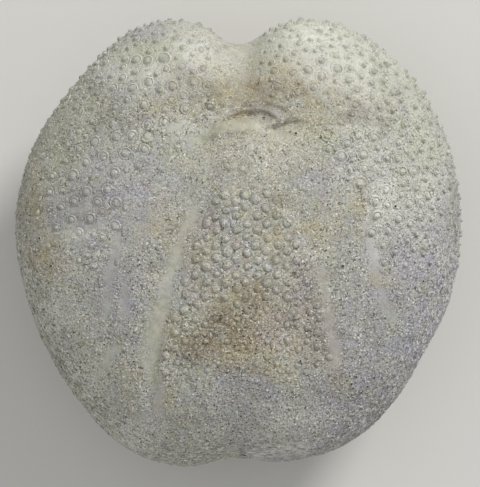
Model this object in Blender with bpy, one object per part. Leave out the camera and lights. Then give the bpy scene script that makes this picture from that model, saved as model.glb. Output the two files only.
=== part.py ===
"""A fossil heart urchin, lying on its domed back with the mouth side up.

The shell and the chalk that fills it are one stone, so the object is one closed solid. It is made as two
sheets, the mouth side and the dome side, that share the points of the widest outline. Each sheet is a disc of
points joined by Delaunay triangles. A point of the disc is carried to a superellipse section over the heart
outline, and then moved along the surface's normal by the relief: mouth, shield, bands, petals, keel and vent.
The larger tubercles are blunt six-sided bosses in the same mesh.

+Z is up, out of the mouth side. +Y is the front, where the notch is. The origin is on the resting face, under
the middle of the outline. Sizes are in millimetres until the mesh is made.
"""

import math

import bmesh
import bpy
import numpy as np
from mathutils.geometry import delaunay_2d_cdt

METRES = 0.001

# Main levels of the side view.
RIM_HEIGHT = 9.3  # the widest outline, above the resting face
MOUTH_SIDE_RISE = 6.5  # from the rim to the middle of the mouth side
DOME_DROP = 9.46  # from the rim to the top of the dome, before the ridges' crests are worn level
MEAN_RADIUS = 13.9
MOUTH_SIDE_SQUARENESS = 2.5  # superellipse exponent: 2 is an ellipse, more is boxier
DOME_SQUARENESS_FRONT = 2.25
DOME_SQUARENESS_REAR = 3.1

# The heart outline from above: azimuth in degrees from +X, and radius.
OUTLINE = (
    (0, 13.76),
    (20, 14.22),
    (40, 14.74),
    (58, 14.95),
    (69, 14.70),
    (76, 14.15),
    (82, 13.25),
    (88, 12.36),
    (93, 12.48),
    (98, 13.42),
    (104, 14.15),
    (115, 14.66),
    (127, 14.35),
    (136, 14.08),
    (152, 14.03),
    (172, 13.90),
    (190, 13.60),
    (213, 13.62),
    (228, 14.00),
    (242, 14.54),
    (256, 14.30),
    (269, 13.42),
    (280, 13.82),
    (300, 14.15),
    (313, 13.82),
    (330, 13.40),
    (346, 13.60),
)

# The shield (plastron) behind the mouth: y, middle x and half-width.
SHIELD = (
    (6.4, 0.3, 0.9),
    (3.0, 0.4, 1.9),
    (0.8, 0.5, 2.9),
    (-1.1, 0.6, 3.8),
    (-3.6, 0.7, 4.6),
    (-6.7, 0.6, 5.2),
    (-9.0, 0.5, 5.4),
)
SHIELD_CROWN = 0.55
SHIELD_FRONT, SHIELD_REAR = 3.3, -8.3  # y of its first and last tubercles
BAND_WIDTH, BAND_DEPTH = 0.85, 0.22  # the smooth bands along the shield's sides

# The mouth: a crescent slit under a thin arched rim, with the lip behind it.
# Each is a path in plan, its half-width, and its height above the shell or, below zero, its depth.
MOUTH_SLIT = (((-1.6, 7.5), (-0.7, 7.8), (0.2, 8.12), (1.1, 8.07), (2.1, 7.7)), 0.48, -0.5)
MOUTH_HORN = (((1.9, 7.0), (2.7, 7.3), (4.2, 7.75)), 0.45, -0.3)
MOUTH_RIM = (((-0.5, 8.15), (0.3, 8.45), (1.1, 8.48), (2.2, 8.1), (2.75, 7.5)), 0.36, 0.26)
MOUTH_LIP = (((-2.3, 6.6), (-0.6, 7.2), (0.5, 7.4), (1.6, 7.3)), 0.7, 0.28)
MOUTH_HOLLOW = (0.3, 8.3, 4.2, 2.0, 0.5)  # middle x, y, half-width, half-length and depth
NOTCH_HALF_WIDTH, NOTCH_DEPTH = 1.9, 0.4  # where the front groove comes round to the mouth

# The dome side: five ambulacra around the summit.
SUMMIT_Y = 0.6
PETALS = (  # azimuth in degrees, length, half-width, depth
    (34, 9.6, 1.25, 0.75),
    (146, 9.6, 1.25, 0.75),
    (-50, 7.2, 1.15, 0.65),
    (-130, 7.2, 1.15, 0.65),
)
PETAL_START = 1.0
SUMMIT_DEPTH, SUMMIT_RADIUS = 0.3, 0.9
FRONT_GROOVE_START, FRONT_GROOVE_DEPTH, FRONT_GROOVE_HALF_WIDTH = 0.25, 0.95, 2.1
KEEL_HEIGHT, KEEL_HALF_WIDTH = 0.22, 1.5
VENT = (0.1, 5.2, 1.15, 1.55, 0.7)  # middle x, middle z, half-width, half-height and depth
REAR_HOLLOW = (0.0, 6.2, 4.2, 2.8, 0.35)  # the same of the wide hollow that the vent lies in

# Tubercles.
SHIELD_COLUMN, SHIELD_ROW = 0.70, 1.00
SHIELD_BOSS = 0.30
COARSE_SPACING, FINE_SPACING = 1.15, 0.58
COARSE_BOSS, FINE_BOSS = 0.34, 0.15
SMALLEST_BOSS = 0.235  # smaller ones are left off this solid
BOSS_RINGS = (  # sides, radius and height as shares of the boss's radius: its blunt top and its feet
    (3, 0.42, 0.60),
    (6, 1.0, 0.0),
)
SEED = 7

# Points of the mesh between the tubercles.
RIM_POINTS = 108
PLAIN_SPACING = 1.05
DOME_SPACING = 1.10
VENT_SPACING = 0.45
MOUTH_SPACING = 0.33
PETAL_STEP = 0.72
PETAL_ROWS = (-1.2, -0.8, -0.4, 0.0, 0.4, 0.8, 1.2)  # shares of the petal's half-width
DISC_SCALE = MEAN_RADIUS * 1.2  # millimetres of shell to one unit of the disc

STONE_COLOUR = (0.56, 0.55, 0.48, 1.0)


def smoothstep(low, high, x):
    """0 below low, 1 above high, and a smooth S between."""
    t = np.clip((x - low) / (high - low), 0, 1)
    return t * t * (3 - 2 * t)


def outline_radius(azimuth):
    """The outline's radius at an azimuth in radians, on a cubic through OUTLINE that closes on itself."""
    angle, radius = np.radians([a for a, _ in OUTLINE]), np.array([r for _, r in OUTLINE])
    angle = np.concatenate([angle[-2:] - math.tau, angle, angle[:2] + math.tau])
    radius = np.concatenate([radius[-2:], radius, radius[:2]])
    slope = np.gradient(radius, angle)
    x = np.mod(azimuth, math.tau)
    i = np.clip(np.searchsorted(angle, x, side="right") - 1, 0, len(angle) - 2)
    step = angle[i + 1] - angle[i]
    t = (x - angle[i]) / step
    return (
        (1 + 2 * t) * (1 - t) ** 2 * radius[i]
        + t * (1 - t) ** 2 * step * slope[i]
        + t * t * (3 - 2 * t) * radius[i + 1]
        + t * t * (t - 1) * step * slope[i + 1]
    )


def section(share, squareness):
    """Height of a superellipse of unit size at a share of its half-width."""
    return (1 - np.clip(share, 0, 1) ** squareness) ** (1 / squareness)


def even_share(reach, rise, squareness):
    """The share of the half-width at a share of the arc from the middle to the rim, for even points."""
    share = np.sin(np.linspace(0, math.pi / 2, 400))
    height = section(share, squareness) * rise
    arc = np.concatenate([[0], np.cumsum(np.hypot(np.diff(share * MEAN_RADIUS), np.diff(height)))])
    return np.interp(reach, arc / arc[-1], share)


def plain_point(disc, side):
    """Where points of the unit disc lie on the plain shell. side is +1 on the mouth side, -1 on the dome."""
    reach = np.clip(np.linalg.norm(disc, axis=1), 0, 1)
    azimuth = np.arctan2(disc[:, 1], disc[:, 0])
    if side > 0:
        rise, squareness = MOUTH_SIDE_RISE, MOUTH_SIDE_SQUARENESS
    else:
        rearward = (0.5 - 0.5 * np.sin(azimuth)) ** 2
        rise = -DOME_DROP
        squareness = DOME_SQUARENESS_FRONT + (DOME_SQUARENESS_REAR - DOME_SQUARENESS_FRONT) * rearward
    mean_squareness = MOUTH_SIDE_SQUARENESS if side > 0 else DOME_SQUARENESS_FRONT
    share = even_share(reach, rise, mean_squareness)
    out = share * outline_radius(azimuth)
    height = RIM_HEIGHT + rise * section(share, squareness)
    return np.column_stack([out * np.cos(azimuth), out * np.sin(azimuth), height])


def plain_normal(disc, side):
    """The plain shell's outward normal, from points a small step away on the disc."""
    step = 0.004
    inner = disc * (1 - 2 * step)
    across = plain_point(inner + [step, 0], side) - plain_point(inner - [step, 0], side)
    along = plain_point(inner + [0, step], side) - plain_point(inner - [0, step], side)
    normal = np.cross(across, along) * side
    return normal / np.linalg.norm(normal, axis=1, keepdims=True)


def distance_to_path(x, y, path):
    """Distance in plan to a path of straight stretches, and how far along it that is, from 0 to 1."""
    path = np.array(path, float)
    lengths = np.linalg.norm(np.diff(path, axis=0), axis=1)
    starts = np.concatenate([[0], np.cumsum(lengths)])
    nearest, place = np.full(x.shape, np.inf), np.zeros(x.shape)
    for (ax, ay), (bx, by), length, start in zip(path[:-1], path[1:], lengths, starts):
        t = np.clip(((x - ax) * (bx - ax) + (y - ay) * (by - ay)) / length**2, 0, 1)
        distance = np.hypot(x - ax - t * (bx - ax), y - ay - t * (by - ay))
        closer = distance < nearest
        nearest = np.where(closer, distance, nearest)
        place = np.where(closer, (start + t * length) / starts[-1], place)
    return nearest, place


def ridge(x, y, path, half_width, height):
    """A rounded ridge along a path, or a groove where height is negative, with tapered ends."""
    distance, place = distance_to_path(x, y, path)
    taper = np.clip(np.sin(math.pi * np.clip(place, 0.02, 0.98)) * 1.6, 0, 1)
    return height * taper * (1 - smoothstep(0.25, 1, distance / half_width))


def shield_share(x, y):
    """How far across the shield a point is: 0 on its middle line and 1 on its edge."""
    rows = np.array(sorted(SHIELD))
    return np.abs(x - np.interp(y, rows[:, 0], rows[:, 1])) / np.interp(y, rows[:, 0], rows[:, 2])


def band_depth(x, y):
    """The smooth bands on both sides of the shield, from 0 away from them to 1 on their middle lines."""
    rows = np.array(sorted(SHIELD))
    edge = np.interp(y, rows[:, 0], rows[:, 2])
    off = (shield_share(x, y) - 1) * edge - BAND_WIDTH * 0.55
    length = smoothstep(-11.5, -8.5, y) * (1 - smoothstep(4.5, 6.5, y))
    return np.exp(-((off / (BAND_WIDTH * 0.5)) ** 2)) * length


def mouth_side_relief(p):
    """How far the surface stands out from the plain shell on the mouth side."""
    x, y, z = p.T
    out = SHIELD_CROWN * np.exp(-(shield_share(x, y) ** 2)) * smoothstep(8, 4, y) * smoothstep(-12.5, -7, y)
    out -= BAND_DEPTH * band_depth(x, y)
    mx, my, half_width, half_length, depth = MOUTH_HOLLOW
    out -= depth * np.exp(-(((x - mx) / half_width) ** 2) - ((y - my) / half_length) ** 2)
    notch = np.exp(-((x / NOTCH_HALF_WIDTH) ** 2)) * smoothstep(8.0, 10.0, y)
    out -= NOTCH_DEPTH * notch * smoothstep(0.5, 2.5, z - RIM_HEIGHT)
    for form in (MOUTH_SLIT, MOUTH_HORN, MOUTH_RIM, MOUTH_LIP):
        out += ridge(x, y, *form)
    return out


def lens(share, half_width):
    """A petal's half-width at a share of its length."""
    return half_width * np.sin(math.pi * np.clip(share, 0.04, 0.96)) ** 0.5


def petal(x, y, azimuth, length, half_width):
    """How deep in a petal a point is: 0 outside it and 1 on its floor. Its plan is a lens."""
    a = math.radians(azimuth)
    share = (x * math.cos(a) + (y - SUMMIT_Y) * math.sin(a) - PETAL_START) / (length - PETAL_START)
    across = np.abs(-x * math.sin(a) + (y - SUMMIT_Y) * math.cos(a))
    ends = smoothstep(-0.05, 0.3, share) * smoothstep(1.05, 0.8, share)
    return ends * (1 - smoothstep(0.35, 1.2, across / lens(share, half_width)))


def dome_side_relief(p):
    """How far the surface stands out from the plain shell on the dome side."""
    x, y, z = p.T
    out = np.zeros(len(p))
    for azimuth, length, half_width, depth in PETALS:
        out -= depth * petal(x, y, azimuth, length, half_width)
    groove = np.exp(-((x / FRONT_GROOVE_HALF_WIDTH) ** 2)) * smoothstep(SUMMIT_Y, SUMMIT_Y + 1.5, y)
    forward = smoothstep(SUMMIT_Y + 0.5, 6, y) * smoothstep(RIM_HEIGHT - 0.5, RIM_HEIGHT - 5, z)
    out -= groove * (FRONT_GROOVE_START + (FRONT_GROOVE_DEPTH - FRONT_GROOVE_START) * forward)
    keel = np.exp(-((x / KEEL_HALF_WIDTH) ** 2)) * smoothstep(-0.5, -3.5, y)
    out += KEEL_HEIGHT * keel * smoothstep(6.5, 3.5, z)
    out -= SUMMIT_DEPTH * np.exp(-(x**2 + (y - SUMMIT_Y) ** 2) / SUMMIT_RADIUS**2)
    rear = smoothstep(-9, -12, y)
    hx, hz, half_width, half_height, depth = REAR_HOLLOW
    out -= depth * rear * np.exp(-(((x - hx) / half_width) ** 2) - ((z - hz) / half_height) ** 2)
    vx, vz, half_width, half_height, depth = VENT
    hole = np.sqrt(((x - vx) / half_width) ** 2 + ((z - vz) / half_height) ** 2)
    out -= depth * rear * (1 - smoothstep(0.55, 1.1, hole))
    return out


def shell_point(disc, side, lift=0.0):
    """Points of the disc on the finished shell, lifted along the normal. The dome's crests are worn level."""
    plain = plain_point(disc, side)
    relief = mouth_side_relief(plain) if side > 0 else dome_side_relief(plain)
    inside = 1 - smoothstep(0.97, 1.0, np.linalg.norm(disc, axis=1))
    points = plain + plain_normal(disc, side) * (relief * inside + lift)[:, None]
    points[:, 2] = np.maximum(points[:, 2], 0)
    return points


def disc_of_plan(x, y, side):
    """The disc point over a place in plan, or under it on the dome side."""
    azimuth = np.arctan2(y, x)
    share = np.hypot(x, y) / outline_radius(azimuth)
    rise, squareness = MOUTH_SIDE_RISE, MOUTH_SIDE_SQUARENESS
    if side < 0:
        rise, squareness = -DOME_DROP, DOME_SQUARENESS_FRONT
    reach = np.linspace(0, 1, 400)
    found = np.interp(share, even_share(reach, rise, squareness), reach)
    return np.column_stack([found * np.cos(azimuth), found * np.sin(azimuth)])


def shield_tubercles():
    """Places, in plan, and boss radii of the shield's tubercles: columns, every second one shifted."""
    rng = np.random.default_rng(SEED)
    column, row = np.meshgrid(np.arange(-8, 9), np.arange(0, 12), indexing="ij")
    column, row = column.ravel(), row.ravel()
    y = SHIELD_FRONT - (row + 0.5 * (column % 2)) * SHIELD_ROW + rng.normal(0, 0.06, len(row))
    x = 0.55 + column * SHIELD_COLUMN + rng.normal(0, 0.05, len(row))
    boss = SHIELD_BOSS * (1 - 0.3 * smoothstep(-5.5, -8.5, y)) * rng.uniform(0.9, 1.08, len(row))
    kept = (shield_share(x, y) < 0.97) & (y > SHIELD_REAR) & (y < SHIELD_FRONT)
    return x[kept], y[kept], boss[kept]


def coarseness(p):
    """How coarse the flank tubercles are, from 0, fine, to 1: coarse in front and away from the rim."""
    x, y, z = p.T
    front = smoothstep(-6.5, 3.0, y + 0.12 * x)
    inner = smoothstep(0.3, 4.5, z - RIM_HEIGHT)
    return front * (0.35 + 0.65 * inner)


def bare(p):
    """Where the mouth side has no flank tubercles: the shield, the bands and strips beside it, the mouth."""
    x, y = p[:, 0], p[:, 1]
    strip = 1.0 + 3.4 / np.interp(y, [-9, 3, 6], [5.4, 1.9, 1.2])
    return (
        ((shield_share(x, y) < strip) & (y < 7.5) & (y > -12.5))
        | (((x - 0.3) / 4.6) ** 2 + ((y - 7.7) / 1.6) ** 2 < 1)
        | ((np.abs(x) < 1.7) & (y > 7))
    )


def flank_tubercles():
    """Disc points and boss radii of the mouth side's other tubercles: darts that keep their distance."""
    rng = np.random.default_rng(SEED + 1)
    reach, azimuth = np.sqrt(rng.uniform(0, 0.96, 9000)), rng.uniform(0, math.tau, 9000)
    darts = np.column_stack([reach * np.cos(azimuth), reach * np.sin(azimuth)])
    places = plain_point(darts, +1)
    size = coarseness(places)
    free = ~bare(places)
    darts, places, size = darts[free], places[free], size[free]
    spacing = FINE_SPACING + (COARSE_SPACING - FINE_SPACING) * size
    boss = FINE_BOSS + (COARSE_BOSS - FINE_BOSS) * size
    kept = []
    for i, place in enumerate(places):
        if (np.linalg.norm(places[kept] - place, axis=1) > spacing[i]).all():
            kept.append(i)
    return darts[kept], boss[kept]


def hexagonal_disc(spacing):
    """Disc points on a hexagonal lattice, about spacing apart on the shell, that stay clear of the rim."""
    step = spacing / DISC_SCALE
    n = int(1.2 / step)
    i, j = np.meshgrid(np.arange(-n, n + 1), np.arange(-n, n + 1))
    points = np.column_stack([((i + 0.5 * (j % 2)) * step).ravel(), (j * step * math.sqrt(0.75)).ravel()])
    return points[np.linalg.norm(points, axis=1) < 1 - 0.6 * step]


def clear_of(points, others, gap):
    """The points that lie further than gap, in millimetres, from all the others."""
    return points[[np.linalg.norm(others - p, axis=1).min() > gap / DISC_SCALE for p in points]]


def boss_points(tops, boss):
    """Rings of points that make each tubercle a blunt boss, and how far each point is lifted."""
    points, lifts = [], []
    for sides, radius, height in BOSS_RINGS:
        turn = np.arange(sides) * math.tau / sides
        ring = np.column_stack([np.cos(turn), np.sin(turn)]) * radius / DISC_SCALE
        points.append((tops[:, None, :] + boss[:, None, None] * ring).reshape(-1, 2))
        lifts.append(np.repeat(boss * height, sides))
    return np.concatenate(points), np.concatenate(lifts)


def mouth_side_points():
    """Disc points of the mouth side and how far each is lifted: tubercles, the mouth, and plain points."""
    x, y, shield_boss = shield_tubercles()
    flank, flank_boss = flank_tubercles()
    large = flank_boss > SMALLEST_BOSS
    tops = np.concatenate([disc_of_plan(x, y, +1), flank[large]])
    bosses, lifts = boss_points(tops, np.concatenate([shield_boss, flank_boss[large]]))
    mouth = hexagonal_disc(MOUTH_SPACING)
    mx, my = plain_point(mouth, +1)[:, :2].T
    mouth = mouth[(np.abs(mx - 1.0) < 3.6) & (np.abs(my - 7.75) < 1.2)]
    mouth = clear_of(mouth, tops, 0.45)
    plain = clear_of(hexagonal_disc(PLAIN_SPACING), np.concatenate([tops, mouth]), 0.62)
    points = np.concatenate([bosses, mouth, plain])
    return points, np.concatenate([lifts, np.zeros(len(mouth) + len(plain))])


def petal_points():
    """Disc points in rows along each petal: its middle line, the edges of its floor and its brim."""
    points = []
    for azimuth, length, half_width, _ in PETALS:
        a = math.radians(azimuth)
        steps = round((length - PETAL_START) / PETAL_STEP)
        share, row = np.meshgrid(np.linspace(0, 1, steps + 1), PETAL_ROWS)
        along, across = PETAL_START + share * (length - PETAL_START), row * lens(share, half_width)
        x = along * math.cos(a) - across * math.sin(a)
        y = SUMMIT_Y + along * math.sin(a) + across * math.cos(a)
        points.append(disc_of_plan(x.ravel(), y.ravel(), -1))
    return np.concatenate(points)


def dome_side_points():
    """Disc points of the dome side: the petals' rows, close ones at the vent and the summit, and plain ones."""
    petals = petal_points()
    fine = hexagonal_disc(VENT_SPACING)
    x, y, z = plain_point(fine, -1).T
    vx, vz, half_width, half_height, _ = VENT
    near_vent = (y < -9) & (np.hypot((x - vx) / half_width, (z - vz) / half_height) < 1.4)
    fine = clear_of(fine[near_vent | (np.hypot(x, y - SUMMIT_Y) < SUMMIT_RADIUS)], petals, 0.3)
    fine = np.concatenate([petals, fine])
    points = np.concatenate([fine, clear_of(hexagonal_disc(DOME_SPACING), fine, 0.7)])
    return points, np.zeros(len(points))


def sheet(inner, lift, rim, side):
    """One side's mesh: its points, rim first, and its triangles, facing out."""
    discs = np.concatenate([rim, inner])
    made = delaunay_2d_cdt([tuple(p) for p in discs], [], [], 0, 1e-6, True)
    first = [origins[0] for origins in made[3]]
    faces = [[first[v] for v in face] for face in made[2]]
    faces = [face if side > 0 else face[::-1] for face in faces]
    points = shell_point(discs, side, np.concatenate([np.zeros(len(rim)), lift]))
    return points, faces


def urchin_mesh():
    """The closed mesh of the whole stone, in metres."""
    turn = np.arange(RIM_POINTS) * math.tau / RIM_POINTS
    rim = np.column_stack([np.cos(turn), np.sin(turn)])
    upper, upper_faces = sheet(*mouth_side_points(), rim, +1)
    lower, lower_faces = sheet(*dome_side_points(), rim, -1)
    shift = len(upper) - RIM_POINTS
    lower_faces = [[v if v < RIM_POINTS else v + shift for v in face] for face in lower_faces]
    points = np.concatenate([upper, lower[RIM_POINTS:]])
    mesh = bpy.data.meshes.new("urchin")
    mesh.from_pydata((points * METRES).tolist(), [], upper_faces + lower_faces)
    work = bmesh.new()
    work.from_mesh(mesh)
    bmesh.ops.dissolve_degenerate(work, dist=1e-6, edges=work.edges[:])
    bmesh.ops.recalc_face_normals(work, faces=work.faces[:])
    work.to_mesh(mesh)
    work.free()
    mesh.shade_smooth()
    return mesh


def stone_material():
    material = bpy.data.materials.new("weathered_chalk")
    material.use_nodes = True
    shader = material.node_tree.nodes["Principled BSDF"]
    shader.inputs["Base Color"].default_value = STONE_COLOUR
    shader.inputs["Roughness"].default_value = 0.85
    shader.inputs["Metallic"].default_value = 0.0
    return material


def main():
    for old in list(bpy.data.objects):
        bpy.data.objects.remove(old)
    urchin = bpy.data.objects.new("urchin_test", urchin_mesh())
    urchin.data.materials.append(stone_material())
    bpy.context.scene.collection.objects.link(urchin)


main()
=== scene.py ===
"""Fossil heart urchin: the finished look of its stone, and a plain stage.

The stone is one closed surface: a square grid wrapped round a disc for the mouth side, and another for the
dome side, which share their rim. On it stand the tubercles, the granules between them, the pits and the
pores, each kind a joined mesh of small turned shapes. All of it is worked out in millimetres, in the frame
of the solid: +Z up out of the mouth side, +Y towards the front, the origin on the resting face.
"""

import collections
import functools
import math

import bpy
import numpy as np
from bpy.props import FloatProperty, FloatVectorProperty, IntProperty, PointerProperty
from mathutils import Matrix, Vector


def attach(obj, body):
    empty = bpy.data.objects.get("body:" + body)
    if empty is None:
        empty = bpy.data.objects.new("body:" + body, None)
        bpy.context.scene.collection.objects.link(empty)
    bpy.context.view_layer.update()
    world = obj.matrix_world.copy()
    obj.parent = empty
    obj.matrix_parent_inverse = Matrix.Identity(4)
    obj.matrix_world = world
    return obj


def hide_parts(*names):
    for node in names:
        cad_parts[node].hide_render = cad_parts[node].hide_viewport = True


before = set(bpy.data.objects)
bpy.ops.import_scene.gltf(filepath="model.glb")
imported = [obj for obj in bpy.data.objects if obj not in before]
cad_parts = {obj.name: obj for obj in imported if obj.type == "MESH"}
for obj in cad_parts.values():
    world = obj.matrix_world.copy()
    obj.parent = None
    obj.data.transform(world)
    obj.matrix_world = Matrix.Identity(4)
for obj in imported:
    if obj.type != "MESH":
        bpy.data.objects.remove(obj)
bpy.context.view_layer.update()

bl_info = {
    "name": "Fossil heart urchin",
    "version": (1, 0, 0),
    "blender": (4, 5, 0),
    "location": "View3D > Sidebar > Urchin",
    "description": "Builds a fossil heart urchin with its tubercles, granules and stains, on a plain stage",
    "category": "Object",
}

MM = 0.001
NODE, BODY, SLOT = "urchin_test", "root", "stone"

# Main levels of the side view, in millimetres.
RIM_HEIGHT = 9.3
MOUTH_SIDE_RISE = 6.5
DOME_DROP = 9.46
MEAN_RADIUS = 13.9
MOUTH_SIDE_SQUARENESS = 2.5  # superellipse exponent: 2 is an ellipse, more is boxier
DOME_SQUARENESS_FRONT = 2.25
DOME_SQUARENESS_REAR = 3.1
DISC_SCALE = MEAN_RADIUS * 1.2  # millimetres of shell to one unit of the disc

# The heart outline from above: azimuth in degrees from +X, and radius.
OUTLINE = (
    (0, 13.76), (20, 14.22), (40, 14.74), (58, 14.95), (69, 14.70), (76, 14.15), (82, 13.25), (88, 12.36),
    (93, 12.48), (98, 13.42), (104, 14.15), (115, 14.66), (127, 14.35), (136, 14.08), (152, 14.03),
    (172, 13.90), (190, 13.60), (213, 13.62), (228, 14.00), (242, 14.54), (256, 14.30), (269, 13.42),
    (280, 13.82), (300, 14.15), (313, 13.82), (330, 13.40), (346, 13.60),
)

# The shield (plastron) behind the mouth: y, middle x and half-width.
SHIELD = (
    (6.4, 0.3, 0.9),
    (3.0, 0.4, 1.9),
    (0.8, 0.5, 2.9),
    (-1.1, 0.6, 3.8),
    (-3.6, 0.7, 4.6),
    (-6.7, 0.6, 5.2),
    (-9.0, 0.5, 5.4),
)
SHIELD_CROWN = 0.55
SHIELD_FRONT, SHIELD_REAR = 3.0, -8.3
SHIELD_MIDDLE_X = 0.55  # of the middle column of its tubercles
SHIELD_COLUMNS, SHIELD_ROWS = 9, 14  # columns to each side of the middle one, and rows
BAND_WIDTH, BAND_DEPTH = 0.85, 0.15
RIGHT_BAND_SHARE = 0.4  # the right band's depth as a share of the left one's

# The mouth. Each form is a path in plan, its half-width, and its height, or its depth below zero.
MOUTH_SLIT = (((-0.85, 7.74), (-0.4, 7.92), (0.2, 8.11), (0.85, 8.15), (1.4, 8.04)), 0.15, -0.17)
MOUTH_HORN = (((1.76, 7.0), (2.35, 7.16), (2.98, 7.33), (3.5, 7.47), (4.1, 7.6)), 0.24, -0.21)
MOUTH_RIM = (((-0.6, 8.05), (0.22, 8.42), (1.06, 8.48), (1.9, 8.3), (2.5, 7.9), (2.75, 7.6)), 0.22, 0.17)
MOUTH_LIP = (((-2.3, 6.6), (-0.6, 7.2), (0.5, 7.4), (1.6, 7.3)), 0.75, 0.17)
MOUTH_HOLLOW = (0.3, 8.3, 4.2, 2.0, 0.36)  # middle x and y, half-width, half-length, depth
NOTCH_HALF_WIDTH, NOTCH_DEPTH = 1.9, 0.4

# Finer lines near the mouth and on the flanks, which only the finished surface has.
FINE_LINES = (
    (((1.3, 8.06), (1.7, 7.9), (2.0, 7.66)), 0.13, -0.08),
    (((-1.5, 7.56), (-1.1, 7.64), (-0.75, 7.76)), 0.16, -0.08),
    (((-1.2, 9.2), (-1.25, 8.8), (-0.9, 8.5), (-0.4, 8.6), (0.1, 8.66), (0.8, 8.72)), 0.16, -0.09),
    (((1.3, 8.75), (1.8, 8.62), (2.4, 8.45), (2.9, 8.2), (3.2, 7.85)), 0.25, -0.1),
    (((1.4, 8.25), (2.0, 8.0), (2.4, 7.65)), 0.13, -0.08),
    (((-3.0, 7.35), (-2.5, 7.5), (-2.1, 7.75), (-2.2, 8.2)), 0.24, -0.15),
    (((-2.1, 8.3), (-1.6, 8.35)), 0.2, -0.14),
    (((-2.6, 6.5), (-1.9, 6.4), (-1.2, 6.75)), 0.3, -0.1),
    (((0.95, 5.75), (1.3, 5.3)), 0.12, -0.12),
    (((6.55, 4.0), (6.8, 3.65), (7.0, 3.4)), 0.11, -0.2),
    (((7.3, 3.1), (7.5, 3.0)), 0.1, -0.12),
    (((-1.05, 5.9), (-0.9, 5.7)), 0.13, -0.12),
)
# Small deep holes: x, y and radius.
HOLES = (
    (-1.37, 7.54, 0.11), (-0.8, 7.66, 0.11), (0.78, 8.04, 0.1), (1.58, 7.84, 0.1), (3.26, 6.92, 0.1),
    (3.62, 6.8, 0.13), (-3.9, 8.2, 0.09), (-3.45, 10.95, 0.09), (1.2, 10.1, 0.08), (6.5, -1.47, 0.12),
    (9.78, 2.25, 0.12), (9.65, -0.8, 0.1), (3.82, -7.3, 0.14), (3.5, -4.75, 0.1), (-1.05, -4.5, 0.12),
    (-1.9, -6.2, 0.1), (-3.0, -6.9, 0.11), (-0.2, -6.3, 0.1), (11.5, -2.4, 0.12), (-12.3, 0.25, 0.1),
    (-11.6, -1.45, 0.12), (-6.1, -1.35, 0.1), (-9.25, 3.75, 0.1), (0.05, -1.45, 0.09), (6.56, 4.0, 0.09),
    (6.66, 3.86, 0.1), (6.76, 3.73, 0.1), (6.86, 3.6, 0.1), (6.95, 3.47, 0.08), (0.42, -13.2, 0.16),
    (0.3, 8.13, 0.07), (-0.2, 7.98, 0.08), (-0.5, 7.88, 0.07), (0.55, 8.14, 0.07), (1.0, 8.02, 0.06),
    (2.3, 7.2, 0.07), (7.1, -9.0, 0.11), (7.0, -8.75, 0.1), (7.6, -9.3, 0.09), (8.0, -8.9, 0.09),
    (7.3, -8.3, 0.1), (8.4, -8.35, 0.1), (0.75, -13.3, 0.12), (0.7, -4.0, 0.1), (-1.0, 0.0, 0.1),
    (-0.9, 0.9, 0.09), (1.4, 5.26, 0.09),
)

# Strips and patches of bare smooth shell: a path in plan and a half-width.
SMOOTH_STRIPS = (
    (((-2.6, 2.2), (-3.1, 1.1), (-3.5, 0.1), (-4.15, -1.7), (-4.7, -3.5)), 0.4),
    (((-4.6, -3.3), (-5.1, -5.3), (-5.35, -7.6), (-5.3, -8.4)), 0.5),
    (((-5.1, -8.9), (-4.9, -10.2)), 0.36),
    (((5.2, -1.8), (5.5, -3.4)), 0.26),
    (((5.7, -4.4), (5.95, -6.1), (6.0, -7.6)), 0.3),
    (((-7.5, 0.5), (-7.85, -1.1), (-8.1, -3.0), (-8.2, -4.4)), 0.28),
    (((-7.0, -2.6), (-7.2, -5.2)), 0.22),
    (((8.0, 0.9), (8.35, -0.5), (8.7, -2.3), (9.1, -3.6), (9.5, -4.8)), 0.3),
    (((-0.3, 7.3), (0.5, 7.45), (1.2, 7.35)), 0.34),
    (((0.6, 8.45), (1.2, 8.48), (1.9, 8.3), (2.5, 7.9)), 0.18),
    (((-2.9, 6.3), (-2.3, 6.5), (-1.6, 6.9), (-0.9, 7.3)), 0.36),
    (((2.1, 6.9), (3.0, 6.7)), 0.3),
    (((-8.5, -8.0), (-7.6, -6.6)), 0.3),
    (((-4.3, 7.1), (-3.7, 7.2)), 0.3),
)

# Calmer and grittier ground on the mouth side: middle x and y, half-width, half-length, how much smoother.
GROUND = (
    (4.5, 12.0, 4.8, 2.8, 0.57),
    (-4.5, 11.8, 4.2, 2.8, 0.52),
    (9.5, 9.0, 3.0, 3.0, 0.27),
    (-8.8, 4.0, 3.4, 4.6, 0.2),
    (11.8, 3.5, 2.4, 5.0, 0.1),
    (11.4, -3.5, 2.4, 4.0, -0.4),
    (6.5, -3.5, 2.4, 5.0, -0.35),
    (8.0, -8.5, 4.0, 3.6, -0.55),
    (-8.0, -7.5, 3.6, 4.0, -0.35),
    (0.5, -6.5, 4.2, 2.4, -0.35),
    (2.6, -13.0, 2.0, 0.6, 0.5),
    (-9.2, 1.6, 2.6, 1.6, 0.25),
    (-3.0, 4.8, 2.2, 1.0, 0.2),
    (2.4, 6.6, 1.2, 0.9, 0.3),
    (1.2, 9.6, 1.8, 0.8, 0.3),
    (-6.4, -3.0, 1.6, 4.0, -0.1),
)
GROUND_SMOOTHNESS = 0.18

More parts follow.
